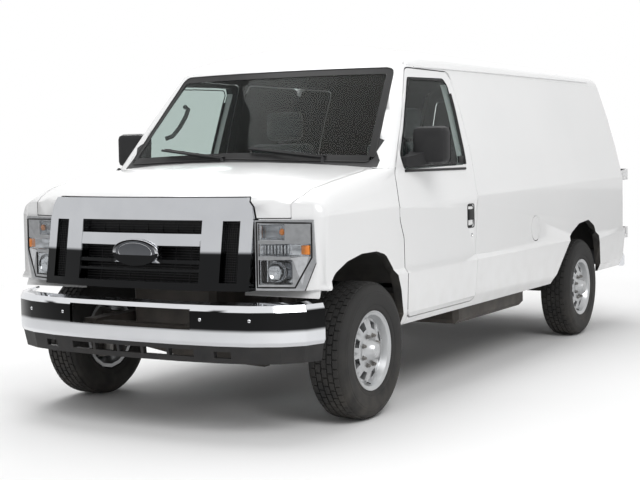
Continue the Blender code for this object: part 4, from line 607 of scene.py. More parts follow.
def bandBetween(outer, inner, thick):
    # a strip between two loops of the same count, given a thickness
    count = len(outer)
    mesh = bpy.data.meshes.new("band")
    edges = [(start + k, start + (k + 1) % count) for start in (0, count) for k in range(count)]
    mesh.from_pydata([*outer, *inner], edges, [])
    piece = bpy.data.objects.new("band", mesh)
    scene.collection.objects.link(piece)
    editAll(piece)
    bpy.ops.mesh.bridge_edge_loops()
    facesOut()
    addModifier(piece, "SOLIDIFY", thickness=thick, offset=0.0)
    return piece


print("tools ready")

# ---- floor, light and background (stage)

stageSet = {"floorSize": 80.0, "floorTone": 0.86, "toneSpread": 0.01, "skyLight": 0.52, "fade": (3.2, 6.5),
            "aim": (0, 0, 0.8),
            "lamps": (("keySoft", (6.0, -6.0, 7.0), 5.0, 420.0), ("topSoft", (-1.0, 0.0, 7.5), 6.0, 300.0),
                      ("backSoft", (-6.0, 6.0, 6.0), 5.0, 260.0))}


def addStage(s):
    deselectAll()
    bpy.ops.mesh.primitive_plane_add(size=s["floorSize"], location=(0, 0, -0.001))
    floor = bpy.context.object
    floor.name = "studioFloor"
    concrete = bpy.data.materials.new("paleFloor")
    concrete.use_nodes = True
    tree, link = concrete.node_tree.nodes, concrete.node_tree.links.new
    shader = tree["Principled BSDF"]
    coords = tree.new("ShaderNodeTexCoord").outputs["Object"]
    tone = mapNode(tree, link, noiseNode(tree, link, coords, 0.8), toMin=s["floorTone"] - s["toneSpread"],
                   toMax=s["floorTone"] + s["toneSpread"])
    link(tone, shader.inputs["Base Color"])
    shader.inputs["Roughness"].default_value = 0.85
    # far from the van the floor fades to the background's white, for the eye only
    away = tree.new("ShaderNodeVectorMath")
    away.operation = "LENGTH"
    link(coords, away.inputs[0])
    fade = mapNode(tree, link, away.outputs["Value"], True, *s["fade"])
    share = mathNode(tree, link, "MULTIPLY", fade, tree.new("ShaderNodeLightPath").outputs["Is Camera Ray"])
    plain = tree.new("ShaderNodeEmission")
    both = tree.new("ShaderNodeMixShader")
    link(share, both.inputs["Fac"])
    link(shader.outputs["BSDF"], both.inputs[1])
    link(plain.outputs["Emission"], both.inputs[2])
    link(both.outputs["Shader"], tree["Material Output"].inputs["Surface"])
    floor.data.materials.append(concrete)
    world = bpy.data.worlds.new("studioSky")
    scene.world = world
    world.use_nodes = True
    tree, link = world.node_tree.nodes, world.node_tree.links.new
    back = tree["Background"]
    path = tree.new("ShaderNodeLightPath").outputs
    seen = mathNode(tree, link, "MAXIMUM", path["Is Camera Ray"], path["Is Glossy Ray"])
    both = mathNode(tree, link, "MAXIMUM", seen, path["Is Transmission Ray"])
    link(mapNode(tree, link, both, toMin=s["skyLight"]), back.inputs["Strength"])
    back.inputs["Color"].default_value = (1, 1, 1, 1)
    for name, place, size, energy in s["lamps"]:
        lamp = bpy.data.lights.new(name, "AREA")
        lamp.shape = "DISK"
        lamp.size = size
        lamp.energy = energy
        holder = bpy.data.objects.new(name, lamp)
        holder.location = place
        holder.rotation_euler = (Vector(s["aim"]) - Vector(place)).to_track_quat("-Z", "Y").to_euler()
        scene.collection.objects.link(holder)


addStage(stageSet)
scene.view_settings.view_transform = "Standard"
print("stage placed")

# ---- body panels, bumpers and glass

panelSet = {"axles": ((-1.914, 0.366), (1.591, 0.366)), "archReach": 0.62, "archTurned": 0.62, "archLow": 0.30,
            "turned": 0.30, "middleZ": 1.15, "rearFrom": 2.45, "cornerFrom": 0.90}


def facesIn(centre, normal, s):
    # true where a face of a panel looks into the van
    inward = Vector((-centre.x, 0.0, s["middleZ"] - centre.z))
    if centre.y > s["rearFrom"]:
        if abs(centre.x) > s["cornerFrom"]:
            return False
        inward = Vector((0.0, -1.0, 0.0))
    return normal.dot(inward.normalized()) > s["turned"]


def inArch(centre, normal, s):
    # true for the faces around a wheel that look at its axle
    for y, z in s["axles"]:
        to = Vector((0.0, y - centre.y, z - centre.z))
        near = to.length < s["archReach"] and centre.z > s["archLow"]
        if near and normal.dot(to.normalized()) > s["archTurned"]:
            return True
    return False


def addPanels(s):
    for name in nodeFinish[paintWhite]:
        piece = smoothCopy(name, paintWhite, name + "_painted", quads=False)
        if name != "fuel_door":
            # faces that look into the van are darkened: dark trim in the cab, painted shade in the load area; the
            # fenders and hood take the black arch lining there
            lining = archLining if name in ("fender_left", "fender_right", "hood") else cabLining
            lineFaces(piece, lining, lambda centre, normal: facesIn(centre, normal, s))
        if name.startswith(("fender", "body_side")):
            lineFaces(piece, archLining, lambda centre, normal: inArch(centre, normal, s))


addPanels(panelSet)
for name in nodeFinish[brightChrome]:
    smoothCopy(name, brightChrome, name + "_bright", 30.0)
smoothCopy("grille", grilleChrome, "grille_bright", 30.0)
for name in nodeFinish[screenGlass]:
    smoothCopy(name, screenGlass, name + "_pane")
print("panels made")

# ---- tyres: a turned carcass with ribs and rows of tread blocks

tyreSet = {"steps": 72, "rows": (-0.066, -0.034, 0.0, 0.034, 0.066), "blocks": 46, "blockWide": 0.0265,
           "blockHigh": 0.0105, "blockRound": 0.0012, "top": 0.3655, "gap": 0.0065,
           "shoulder": {"row": 0.05, "from": 0.062, "wide": 0.018, "drop": 0.0045},
           "profile": ((0.2130, -0.0950), (0.2180, -0.1010), (0.2320, -0.1040), (0.2420, -0.1035), (0.2460, -0.1060),
                       (0.2520, -0.1075), (0.2900, -0.1115), (0.3060, -0.1112), (0.3080, -0.1095), (0.3180, -0.1088),
                       (0.3200, -0.1072), (0.3400, -0.1020), (0.3460, -0.0975), (0.3520, -0.0870), (0.3565, -0.0760),
                       (0.3572, 0.0)),
           "places": (("front_left", 0.8815, -1.914, 1), ("front_right", -0.8815, -1.914, -1),
                      ("rear_left", 0.852, 1.591, 1), ("rear_right", -0.852, 1.591, -1)), "height": 0.366}


def makeTyre(s):
    half = [(x, 0.0, r) for r, x in s["profile"]]
    line = half + [(-x, y, r) for x, y, r in reversed(half[:-1])]
    tyre = turnLine(line + [line[0]], (0, 0, 0), (1, 0, 0), s["steps"])
    wide, turn, shoulder = s["blockWide"], math.tau / s["blocks"], s["shoulder"]
    reach = s["top"] * turn / 2 - s["gap"] / 2
    rows = []
    for k, x in enumerate(s["rows"]):
        block = addBlock((x - wide / 2, -reach, s["top"] - s["blockHigh"]), (x + wide / 2, reach, s["top"]),
                         s["blockRound"], 1)
        editAll(block)
        bpy.ops.mesh.bisect(plane_co=(x, 0, 0), plane_no=(0.5, 1, 0))  # a sipe's line across each block
        bpy.ops.mesh.select_all(action="SELECT")
        bpy.ops.transform.rotate(value=-math.radians((k % 2) * 360 / s["blocks"] / 2), orient_axis="X",
                                 center_override=(0, 0, 0))
        leaveEdit()
        if abs(x) > shoulder["row"]:
            for corner in block.data.vertices:  # the shoulder blocks fall away at their outer edge
                out = max(0.0, abs(corner.co.x) - shoulder["from"]) / shoulder["wide"]
                corner.co.z -= shoulder["drop"] * out * out
        rows.append(block)
    block = joinAll(rows)
    hub = bpy.data.objects.new("tyreTurn", None)
    scene.collection.objects.link(hub)
    hub.rotation_euler.x = turn
    bpy.context.view_layer.update()
    addModifier(block, "ARRAY", count=s["blocks"], use_relative_offset=False, use_object_offset=True,
                offset_object=hub)
    bpy.data.objects.remove(hub)
    return joinAll([tyre, block])


rimSet = {"nuts": 8, "nutCircle": 0.0825, "nutSize": 0.0105, "nutFoot": 0.0765, "nutTop": 0.094, "nutRound": 0.0012,
          "capProfile": ((0.0, 0.1305), (0.012, 0.1300), (0.026, 0.1275), (0.038, 0.1225), (0.0455, 0.1150),
                         (0.0475, 0.1060), (0.0485, 0.0790)),
          "lipProfile": ((0.2105, 0.0958), (0.2125, 0.0966), (0.2120, 0.0980), (0.2080, 0.0978), (0.2010, 0.0930)),
          "valve": (0.172, 0.052, 0.080), "rings": ((0.070, 0.118), (0.158, 0.196)), "behind": 0.0012,
          "ringThick": 0.0015, "ringSteps": 6, "ringLooks": 64}


def makeRimDetail(s):
    nuts, foot, top, size, soft = [], s["nutFoot"], s["nutTop"], s["nutSize"], s["nutRound"]
    for k in range(s["nuts"]):
        turn = math.tau * (k + 0.5) / s["nuts"]
        y, z = s["nutCircle"] * math.cos(turn), s["nutCircle"] * math.sin(turn)
        for low, high, radius, sides, bevel in ((foot, foot + 0.005, size * 1.25, 20, soft),  # seat, nut and stud
                                                (foot + 0.004, top, size, 6, soft),
                                                (top - 0.002, top + 0.006, size * 0.55, 12, 0.001)):
            nuts.append(addRod((low, y, z), (high, y, z), radius, sides, bevel))
    return joinAll(nuts)


def rimPlates(s, tag, x, y, z, side):
    # two rings just behind the wheel's face, which leave small openings between them
    node = "rim_" + tag
    rings = []
    for low, high in s["rings"]:
        line = []
        for k in range(s["ringSteps"] + 1):
            r = low + (high - low) * k / s["ringSteps"]
            turns = [math.tau * j / s["ringLooks"] for j in range(s["ringLooks"])]
            spots = [sidePoint(node, side, y + r * math.cos(turn), z + r * math.sin(turn)) for turn in turns]
            out = max((side * p.x for p in spots if p is not None), default=None)
            if out is not None:
                line.append((side * (out - s["behind"]), y, z + r))
        if len(line) > 1:
            ring = turnLine(line, (x, y, z), (1, 0, 0), 72)
            rings.append(addModifier(ring, "SOLIDIFY", thickness=s["ringThick"], offset=0.0))
    if rings:
        settle(joinAll(rings), "wheelFace_" + tag, wheelSilver, "wheel_" + tag, 30)


def addWheels(tyres, rims):
    tyre = makeTyre(tyres)
    nuts = makeRimDetail(rims)
    cap = turnLine([(x, 0.0, r) for r, x in rims["capProfile"]], (0, 0, 0), (1, 0, 0), 40)
    lip = turnLine([(x, 0.0, r) for r, x in rims["lipProfile"]], (0, 0, 0), (1, 0, 0), 72)
    radius, low, high = rims["valve"]
    valve = addRod((low, 0.0, -radius), (high, 0.0, -radius - 0.006), 0.0032, 12, 0.0008)
    made = ((tyre, "tread", tyreRubber), (nuts, "nuts", castMetal), (cap, "cap", wheelSilver),
            (lip, "lip", wheelSilver), (valve, "valve", sealRubber))
    for tag, x, y, side in tyres["places"]:
        for source, kind, finish in made:
            piece = copyOf(source)
            if side < 0:
                turnAbout(piece, 180, "Z", (0, 0, 0))
            piece.location = (x, y, tyres["height"])
            settle(piece, kind + "_" + tag, finish, "wheel_" + tag, 30)
            if source is tyre:
                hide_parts("tyre_" + tag)
        smoothCopy("rim_" + tag, wheelSilver, "rim_" + tag + "_smooth", 28)
        rimPlates(rims, tag, x, y, tyres["height"], side)
    for source, kind, finish in made:
        bpy.data.objects.remove(source)


addWheels(tyreSet, rimSet)
print("wheels made")

# ---- windows: black borders, seals and the windshield's printed edge

windowSet = {"door": ((-1.470, 1.315), (-1.478, 1.40), (-1.125, 1.850), (-0.620, 1.862), (-0.575, 1.82),
                      (-0.610, 1.330)),
             "corner": 0.04, "bandThick": 0.003, "rubber": 0.0035, "outerReach": 0.016,
             "innerReach": 0.014, "lift": 0.0022,
             "screen": ((-0.846, 1.357), (0.0, 1.384), (0.846, 1.357), (0.742, 1.908), (-0.742, 1.908)),
             "screenCorner": 0.05, "screenOut": 0.006, "screenIn": 0.040, "screenLift": 0.0012,
             "sealInset": 0.003, "seal": 0.0045}


def doorFrame(s, side, tag):
    # the black band around a door window, lying on the door and on the glass
    loop = denseLoop(roundedLoop(s["door"], s["corner"]), 0.03)
    outer, inner = insetLoop(loop, -s["outerReach"]), insetLoop(loop, s["innerReach"])
    door, glass = "front_door_" + tag, "door_glass_" + tag
    near, far = [], []
    for (y1, z1), (y2, z2) in zip(outer, inner):
        a = sidePoint(door, side, y1, z1, s["lift"])
        b = sidePoint(glass, side, y2, z2, s["lift"])
        if a is None or abs(a.x) < 0.7:
            a = Vector((b.x if b else side * 0.9, y1, z1))
        if b is None or abs(b.x) < 0.7:
            b = Vector((a.x, y2, z2))
        near.append(a)
        far.append(b)
    band = bandBetween(near, far, s["bandThick"])
    settle(band, "windowBand_" + tag, satinBlack, bodyOf(door), 40)
    rubber = addWire([Vector(p) for p in far], s["rubber"], closed=True)
    settle(rubber, "windowRubber_" + tag, sealRubber, bodyOf(door), 60)


def screenBorder(s):
    # the dark printed edge of the windshield and the rubber around it
    loop = denseLoop(roundedLoop(s["screen"], s["screenCorner"]), 0.04)
    outer, inner = insetLoop(loop, s["screenOut"]), insetLoop(loop, s["screenIn"])
    near, far = [], []
    for (x1, z1), (x2, z2) in zip(outer, inner):
        near.append(frontPoint("windshield", x1, z1, s["screenLift"]) or Vector((x1, -1.5, z1)))
        far.append(frontPoint("windshield", x2, z2, s["screenLift"]))
    settle(bandBetween(near, far, s["screenLift"]), "screenEdge", satinBlack, bodyOf("windshield"), 40)
    line = [frontPoint("windshield", x, z) or p for (x, z), p in zip(insetLoop(loop, s["sealInset"]), near)]
    seal = addWire(line, s["seal"], closed=True)
    settle(seal, "screenSeal", sealRubber, bodyOf("windshield"), 60)


for side, tag in bothSides:
    doorFrame(windowSet, side, tag)
screenBorder(windowSet)
print("windows edged")

# ---- grille: black mesh behind the openings and a plain badge

grilleSet = {"middle": (-0.392, 0.392, 0.765, 1.090), "vent": (0.492, 0.596, 0.768, 1.088), "back": 0.060,
             "pitch": 0.0135, "barThick": 0.0028, "upright": 0.096, "ventBack": 0.018, "ventPitch": 0.0125,
             "ventThick": 0.0026, "lean": 0.16, "leanZ": 0.93, "rim": 0.0042, "rimCorner": 0.018,
             "rims": ((-0.385, 0.385, 0.772, 1.085), (0.498, 0.590, 0.775, 1.082), (-0.590, -0.498, 0.775, 1.082)),
             "badge": (0.147, 0.069, 0.919), "badgeBevel": 0.0018,
             "badgeLayers": (("badgeRing", 1.0, 0.006, brightChrome, 0.001),
                             ("badgeFace", 0.86, 0.004, badgeDark, 0.0032),
                             ("badgeLine", 0.74, 0.004, brightChrome, 0.0040),
                             ("badgeMiddle", 0.71, 0.004, badgeDark, 0.0046))}


def grilleMesh(s, low, high, y, pitch, thick, upright, name):
    # thin bars side by side, and upright ones where the photo shows squares
    (x0, z0), (x1, z1) = low, high
    pieces = []
    for k in range(int((z1 - z0) / pitch) + 1):
        z = z0 + k * pitch
        at = y + s["lean"] * (z - s["leanZ"])
        pieces.append(addBlock((x0, at, z - thick / 2), (x1, at + 0.012, z + thick / 2)))
    for k in range(int((x1 - x0) / upright) + 1):
        x = x0 + k * upright
        bar = addBlock((x - thick / 2, y + 0.003, z0), (x + thick / 2, y + 0.011, z1))
        for corner in bar.data.vertices:
            corner.co.y += s["lean"] * (corner.co.z - s["leanZ"])
        pieces.append(bar)
    settle(joinAll(pieces), name, blackPlastic, bodyOf("grille"), 0)


def addGrille(s):
    x0, x1, z0, z1 = s["middle"]
    faceY = frontPoint("grille", 0.44, s["leanZ"]).y
    grilleMesh(s, (x0, z0), (x1, z1), faceY + s["back"], s["pitch"], s["barThick"], s["upright"], "grilleSlats")
    for side, tag in bothSides:
        x0, x1, z0, z1 = s["vent"]
        x0, x1 = sorted((side * x0, side * x1))
        ventY = frontPoint("grille", side * 0.620, s["leanZ"]).y + s["ventBack"]
        grilleMesh(s, (x0, z0), (x1, z1), ventY, s["ventPitch"], s["ventThick"], s["ventPitch"], "ventMesh_" + tag)
    # a satin black sheet behind the openings: painted shade
    backing = addBlock((-0.63, faceY + 0.085, 0.74), (0.63, faceY + 0.090, 1.11))
    settle(backing, "grilleShade", satinBlack, bodyOf("grille"), 0)
    for k, (x0, x1, z0, z1) in enumerate(s["rims"]):  # bright inner rims around the three openings
        loop = denseLoop(roundedLoop(((x0, z0), (x1, z0), (x1, z1), (x0, z1)), s["rimCorner"], 4), 0.06)
        rimOn("grille", loop, faceY + s["back"], s["rim"], "grilleRim_%d" % k, brightChrome)
    halfX, halfZ, z = s["badge"]
    badgeY = frontPoint("grille", 0, z).y
    for name, share, depth, finish, lift in s["badgeLayers"]:
        deselectAll()
        bpy.ops.mesh.primitive_cylinder_add(vertices=64, radius=1, depth=1,
                                            location=(0, badgeY - lift + depth / 2, z),
                                            rotation=(math.pi / 2 + s["lean"], 0, 0),
                                            scale=(halfX * share, halfZ * share, depth))
        piece = bpy.context.object
        placeInMesh()
        addModifier(piece, "BEVEL", width=s["badgeBevel"], segments=3, limit_method="ANGLE")
        settle(piece, name, finish, bodyOf("grille"), 40)


addGrille(grilleSet)
print("grille made")

# ---- headlamps: bright housing, deep low bowl, turn lamp above, amber piece beside

lampSet = {"shadeBelow": 0.90, "deep": 0.030, "edge": 0.0045, "wall": 0.003,
           "outline": ((0.664, 0.750), (0.846, 0.750), (0.925, 0.900), (0.925, 1.070), (0.664, 1.075)),
           "rows": {"turn": (0.672, 0.800, 0.985, 1.066), "middle": (0.672, 0.920, 0.905, 0.968),
                    "bowl": (0.672, 0.835, 0.765, 0.888)},
           "bowlProfile": ((0.0, 0.0), (0.012, 0.001), (0.030, 0.006), (0.044, 0.014), (0.052, 0.026)),
           "turnRibs": 12, "middleRibs": 10, "paneInset": 0.002, "paneLift": 0.0085, "paneThick": 0.0022}


def faceGrid(node, x0, x1, z0, z1, columns, rows, lift, side):
    # a sheet of faces that lies on the front of a node
    deselectAll()
    bpy.ops.mesh.primitive_grid_add(x_subdivisions=columns, y_subdivisions=rows, size=1,
                                    location=(side * (x0 + x1) / 2, 0, (z0 + z1) / 2),
                                    rotation=(math.pi / 2, 0, 0))
    sheet = bpy.context.object
    sheet.scale = (abs(x1 - x0), abs(z1 - z0), 1)
    placeInMesh()
    spots = {}
    for corner in sheet.data.vertices:
        spot = frontPoint(node, corner.co.x, corner.co.z, lift)
        if spot is not None:
            spots[corner.index] = spot.y
    for corner in sheet.data.vertices:  # a corner off the node takes the depth of the nearest one on it
        near = min(spots, key=lambda k: (sheet.data.vertices[k].co.x - corner.co.x) ** 2
                   + (sheet.data.vertices[k].co.z - corner.co.z) ** 2)
        corner.co.y = spots.get(corner.index, spots[near])
    return sheet


def addLamp(s, side, tag):
    node = "headlamp_" + tag
    body = bodyOf(node)
    housing = looseCopy(node, "lampHousing_" + tag)
    rows, wall = s["rows"], s["wall"]
    for x0, x1, z0, z1 in rows.values():  # each pocket is cut deeper
        low, high = sorted((side * (x0 + wall), side * (x1 - wall)))
        front = frontPoint(node, side * (x0 + x1) / 2, (z0 + z1) / 2).y
        room = addBlock((low, front - 0.05, z0 + wall), (high, front + s["deep"], z1 - wall), 0.008, 3)
        cutWith(housing, room)
    settle(housing, "lampHousing_" + tag, lampMirror, body, 30)
    # painted shade: housing faces below the shade height that don't face forward are satin black
    lineFaces(housing, satinBlack, lambda centre, normal: centre.z < s["shadeBelow"] and normal.y > -0.6)
    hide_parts(node)
    spots = [frontPoint(node, x, z) for x, z in denseLoop([(side * x, z) for x, z in s["outline"]], 0.03)]
    edge = addWire([p for p in spots if p is not None], s["edge"], closed=True)
    settle(edge, "lampEdge_" + tag, satinBlack, body, 60)
    for key, (x0, x1, z0, z1) in rows.items():
        xMiddle, zMiddle = side * (x0 + x1) / 2, (z0 + z1) / 2
        floorY = frontPoint(node, xMiddle, zMiddle).y + s["deep"]
        if key == "bowl":
            line = [(xMiddle + r, floorY - 0.002 - d, zMiddle) for r, d in s["bowlProfile"]]
            bowl = turnLine(line, (xMiddle, floorY, zMiddle), (0, 1, 0), 40)
            addModifier(bowl, "SOLIDIFY", thickness=0.0012, offset=0.0)
            settle(bowl, "lampBowl_" + tag, lampMirror, body, 40)
            bulb = addRod((xMiddle, floorY - 0.002, zMiddle), (xMiddle, floorY - 0.026, zMiddle), 0.0085, 20, 0.003)
            settle(bulb, "lampBulb_" + tag, lensClear, body, 40)
        if key == "turn":
            amber = addBall((side * (x1 - 0.022), floorY - 0.010, zMiddle), 0.013, (1.15, 0.8, 1.3))
            settle(amber, "turnBulb_" + tag, lensAmber, body, 60)
            ribs = []
            for k in range(s["turnRibs"] + 1):
                x = side * (x0 + 0.008 + k * (x1 - x0 - 0.016) / s["turnRibs"])
                ribs.append(addBlock((x - 0.0026, floorY - 0.004, z0 + 0.006),
                                     (x + 0.0026, floorY + 0.001, z1 - 0.006), 0.0016, 2))
            settle(joinAll(ribs), "turnRibs_" + tag, lampMirror, body, 40)
        if key == "middle":
            low, high = sorted((side * (x1 - 0.052), side * (x1 - 0.006)))
            outY = frontPoint(node, side * (x1 - 0.03), zMiddle).y
            marker = addBlock((low, outY - 0.008, z0 + 0.008), (high, outY + s["deep"] - 0.004, z1 - 0.008), 0.004, 3)
            settle(marker, "sideMarker_" + tag, lensAmber, body, 40)
            ribs = []
            for k in range(s["middleRibs"] + 1):
                x = side * (x0 + 0.010 + k * (x1 - x0 - 0.085) / s["middleRibs"])
                atY = frontPoint(node, x, zMiddle).y + s["deep"]
                ribs.append(addBlock((x - 0.006, atY - 0.006, z0 + 0.006),
                                     (x + 0.006, atY + 0.001, z1 - 0.006), 0.003, 2))
            settle(joinAll(ribs), "middleRibs_" + tag, lampMirror, body, 40)
        i = s["paneInset"]
        pane = faceGrid(node, x0 + i, x1 - i, z0 + i, z1 - i, 16, 6, s["paneLift"], side)
        addModifier(pane, "SOLIDIFY", thickness=s["paneThick"], offset=0.0)
        settle(pane, "lampPane_%s_%s" % (key, tag), lensClear, body, 40)


for side, tag in bothSides:
    addLamp(lampSet, side, tag)
print("headlamps made")

# ---- bumpers: bright lip around the opening, bolts, rubber step pad

bumperSet = {"opening": (0.385, 0.548, 0.650), "front": -2.60, "lip": 0.0042,
             "bolts": ((0.440, 0.600), (0.700, 0.600)), "boltSize": 0.010, "boltSink": 0.003,
             "pad": ((-0.40, 2.712, 0.5435), (0.40, 2.744, 0.5495)),
             "padRibs": 5, "ribPitch": 0.006}


def addBumperDetail(s):
    half, low, high = s["opening"]
    loop = denseLoop(roundedLoop(((-half, low), (half, low), (half, high), (-half, high)), 0.022, 4), 0.05)
    rimOn("front_bumper", loop, s["front"], s["lip"], "bumperLip", wheelSilver)
    bolts = []
    for x, z in s["bolts"]:
        for side in (1, -1):
            spot = frontPoint("front_bumper", side * x, z)
            bolts.append(addBall(spot + Vector((0, s["boltSink"], 0)), s["boltSize"], (1, 0.7, 1), 20))
    settle(joinAll(bolts), "bumperBolts", brightChrome, bodyOf("front_bumper"), 60)
    pad = addBlock(*s["pad"], 0.002, 2)
    steps = [k * s["ribPitch"] for k in range(s["padRibs"])]
    ribs = [addBlock((-0.39, 2.715 + y, 0.549), (0.39, 2.7175 + y, 0.551), 0.0006, 1) for y in steps]
    settle(joinAll([pad, *ribs]), "stepPad", blackPlastic, bodyOf("rear_bumper"), 40)


addBumperDetail(bumperSet)
print("bumper details made")

# ---- door hardware: black pull handles in their recesses and key locks

handleSet = {"place": (-0.660, -0.560, 0.945, 1.090), "inset": 0.0035, "lock": (-0.595, 0.898), "sink": 0.0114,
             "lockProfile": ((0.0, -0.001), (0.0085, -0.001), (0.0100, 0.0016), (0.0125, 0.0014), (0.0130, -0.002))}


def addHandle(s, side, tag, node, shiftY=0.0, source=None):
    y0, y1, z0, z1 = s["place"]
    y0, y1 = y0 + shiftY, y1 + shiftY
    out = sidePoint(source or node, side, y0 - 0.03, (z0 + z1) / 2).x
    low, high = sorted((out - side * s["sink"], out - side * 0.0070))
    i = s["inset"]
    liner = addBlock((low, y0 + i, z0 + i), (high, y1 - i, z1 - i), 0.0012, 2)
    frame = denseLoop(roundedLoop(((y0, z0), (y1, z0), (y1, z1), (y0, z1)), 0.020, 5), 0.03)
    rim = addWire([Vector((out + side * 0.0008, y, z)) for y, z in insetLoop(frame, 0.001)], 0.0030, closed=True)
    low, high = sorted((out - side * 0.010, out + side * 0.0075))
    grip = addBlock((low, y0 + 0.012, z0 + 0.046), (high, y1 - 0.012, z1 - 0.030), 0.0070, 4)
    low, high = sorted((out - side * 0.012, out - side * 0.004))
    lift = addBlock((low, y0 + 0.016, z1 - 0.046), (high, y1 - 0.016, z1 - 0.012), 0.003, 3)
    settle(joinAll([liner, rim, grip, lift]), "pullHandle_" + tag, blackPlastic, bodyOf(node), 40)
    y, z = s["lock"]
    out = sidePoint(source or node, side, y + shiftY, z).x
    line = [(out + side * d, y + shiftY, z + r) for r, d in s["lockProfile"]]
    lock = turnLine(line, (out, y + shiftY, z), (1, 0, 0), 28)
    settle(lock, "keyLock_" + tag, brightChrome, bodyOf(node), 40)


addHandle(handleSet, 1, "left", "front_door_left")
addHandle(handleSet, -1, "right", "front_door_right")
print("handles made")

# ---- mirrors: glass plates in black heads

mirrorSet = {"glass": (0.968, 1.134, 1.362, 1.540), "face": -1.250, "half": 0.002, "splitUp": 0.052, "rim": 0.0045,
             "rimOut": 0.004}


def addMirror(s, side, tag):
    node = "door_mirror_" + tag
    head = looseCopy(node, "mirrorHead_" + tag)
    settle(head, "mirrorHead_" + tag, blackPlastic, bodyOf(node), 50)
    addModifier(head, "BEVEL", width=0.004, segments=2, limit_method="ANGLE", angle_limit=math.radians(25))
    addModifier(head, "WEIGHTED_NORMAL", keep_sharp=False, weight=50)
    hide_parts(node)
    x0, x1, z0, z1 = s["glass"]
    low, high = sorted((side * x0, side * x1))
    near, far = s["face"] - s["half"], s["face"] + s["half"]
    split = z0 + s["splitUp"]  # a wide-angle glass below the flat one
    main = addBlock((low, near, split + 0.004), (high, far, z1), 0.0015, 2)
    wide = addBlock((low, near, z0), (high, far, split - 0.002), 0.0015, 2)
    settle(joinAll([main, wide]), "mirrorGlass_" + tag, mirrorFace, bodyOf(node), 30)
    o = s["rimOut"]
    loop = roundedLoop(((low - o, z0 - o), (high + o, z0 - o), (high + o, z1 + o), (low - o, z1 + o)), 0.02, 5)
    rim = addWire([Vector((x, s["face"] + 0.001, z)) for x, z in loop], s["rim"], closed=True)
    settle(rim, "mirrorRim_" + tag, satinBlack, bodyOf(node), 60)


for side, tag in bothSides:
    addMirror(mirrorSet, side, tag)
print("mirrors made")

# ---- the cowl's moulding and the wipers on it

cowlSet = {"blades": ((0.58, 0.10), (-0.05, -0.55)), "lowZ": 1.392, "highZ": 1.445, "lift": 0.007, "back": 0.011,
           "rubber": 0.0035, "spine": 0.0050, "steps": 12, "paintedFrom": 0.855}


def addCowlDetail(s):
    cowl = settle(looseCopy("cowl", "cowl_moulded"), "cowl_moulded", blackPlastic, bodyOf("cowl"), 35)
    lineFaces(cowl, paintWhite, lambda centre, normal: abs(centre.x) > s["paintedFrom"])
    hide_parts("cowl")
    for k, (x0, x1) in enumerate(s["blades"]):
        spots, back = [], []
        for j in range(s["steps"] + 1):
            share = j / s["steps"]
            x = x0 + (x1 - x0) * share
            z = s["lowZ"] + (s["highZ"] - s["lowZ"]) * share + 0.006
            spot = frontPoint("windshield", x, z, s["lift"])
            if spot is not None:
                spots.append(spot)
                back.append(spot + Vector((0, -s["back"], 0.0)))
        rubber = addWire(spots, s["rubber"])
        spine = addWire(back, s["spine"])
        before, after = Vector((0.006, 0.004, 0.005)), Vector((0.006, 0.013, 0.006))
        clips = [addBlock(tuple(p - before), tuple(p + after), 0.0015, 1) for p in back[2:-1:3]]
        settle(joinAll([rubber, spine, *clips]), "wiperBlade_%d" % k, satinBlack, bodyOf("cowl"), 50)


addCowlDetail(cowlSet)
print("wipers made")

# ---- window divider, belt strip, door trim, pillar handle, aerial and nozzle bases

trimSet = {"divider": ((-1.392, 1.325), (-1.392, 1.500), 8, 0.003, 0.006),  # ends, steps, lift and size
           "rearBar": ((-0.612, 1.335), (-0.578, 1.815), 10, 0.002, 0.011),
           "belt": ((-1.455, 1.308), (-0.615, 1.308), 20, 0.003, 0.0075),
           "block": ((-0.700, 1.340), (-0.620, 1.385)), "cardAt": (0.3, -1.02, 1.05), "grabSize": 0.014,
           "grab": ((-0.815, -1.285, 1.520), (-0.775, -1.265, 1.535), (-0.755, -1.215, 1.590),
                    (-0.745, -1.160, 1.660), (-0.750, -1.125, 1.705), (-0.790, -1.105, 1.725)),
           "bases": (("screenNozzle_0", 0.34, -1.66), ("screenNozzle_1", -0.34, -1.66),
                     ("aerialBase", -0.800, -1.78)),
           "baseProfile": ((0.0, 0.014), (0.006, 0.013), (0.010, 0.008), (0.015, 0.003), (0.016, -0.003))}


def addDoorTrim(s, side, tag):
    door, glass = "front_door_" + tag, "door_glass_" + tag
    body = bodyOf(door)

    def onSide(y, z, lift):
        spots = [sidePoint(n, side, y, z, lift) for n in (glass, door)]
        spots = [p for p in spots if p is not None and abs(p.x) > 0.7]
        return max(spots, key=lambda p: abs(p.x)) if spots else None

    for key, name, finish in (("divider", "windowDivider_", satinBlack), ("rearBar", "windowRearBar_", satinBlack),
                              ("belt", "beltStrip_", blackPlastic)):
        (y0, z0), (y1, z1), steps, lift, size = s[key]
        spots = [onSide(y0 + (y1 - y0) * k / steps, z0 + (z1 - z0) * k / steps, lift) for k in range(steps + 1)]
        settle(addWire([p for p in spots if p], size), name + tag, finish, body, 50)
    (y0, z0), (y1, z1) = s["block"]
    spot = onSide((y0 + y1) / 2, (z0 + z1) / 2, 0.0)
    low, high = sorted((spot.x - side * 0.004, spot.x + side * 0.006))
    settle(addBlock((low, y0, z0), (high, y1, z1), 0.003, 2), "windowBlock_" + tag, satinBlack, body, 40)
    # the trim panel, arm rest and pull inside the door
    x, y, z = s["cardAt"]
    inner = skinPoint(door, (side * x, y, z), (side, 0, 0))
    if inner is not None:
        x = abs(inner.x) - 0.004
        low, high = sorted((side * (x - 0.012), side * x))
        card = addBlock((low, -1.38, 0.84), (high, -0.66, 1.26), 0.010, 3)
        low, high = sorted((side * (x - 0.060), side * (x - 0.006)))
        rest = addBlock((low, -1.16, 1.02), (high, -0.76, 1.075), 0.018, 4)
        crank = addRod((side * (x - 0.030), -1.26, 0.985), (side * (x - 0.008), -1.26, 0.985), 0.022, 24, 0.004)
        settle(joinAll([card, rest, crank]), "doorCard_" + tag, greyTrim, body, 40)


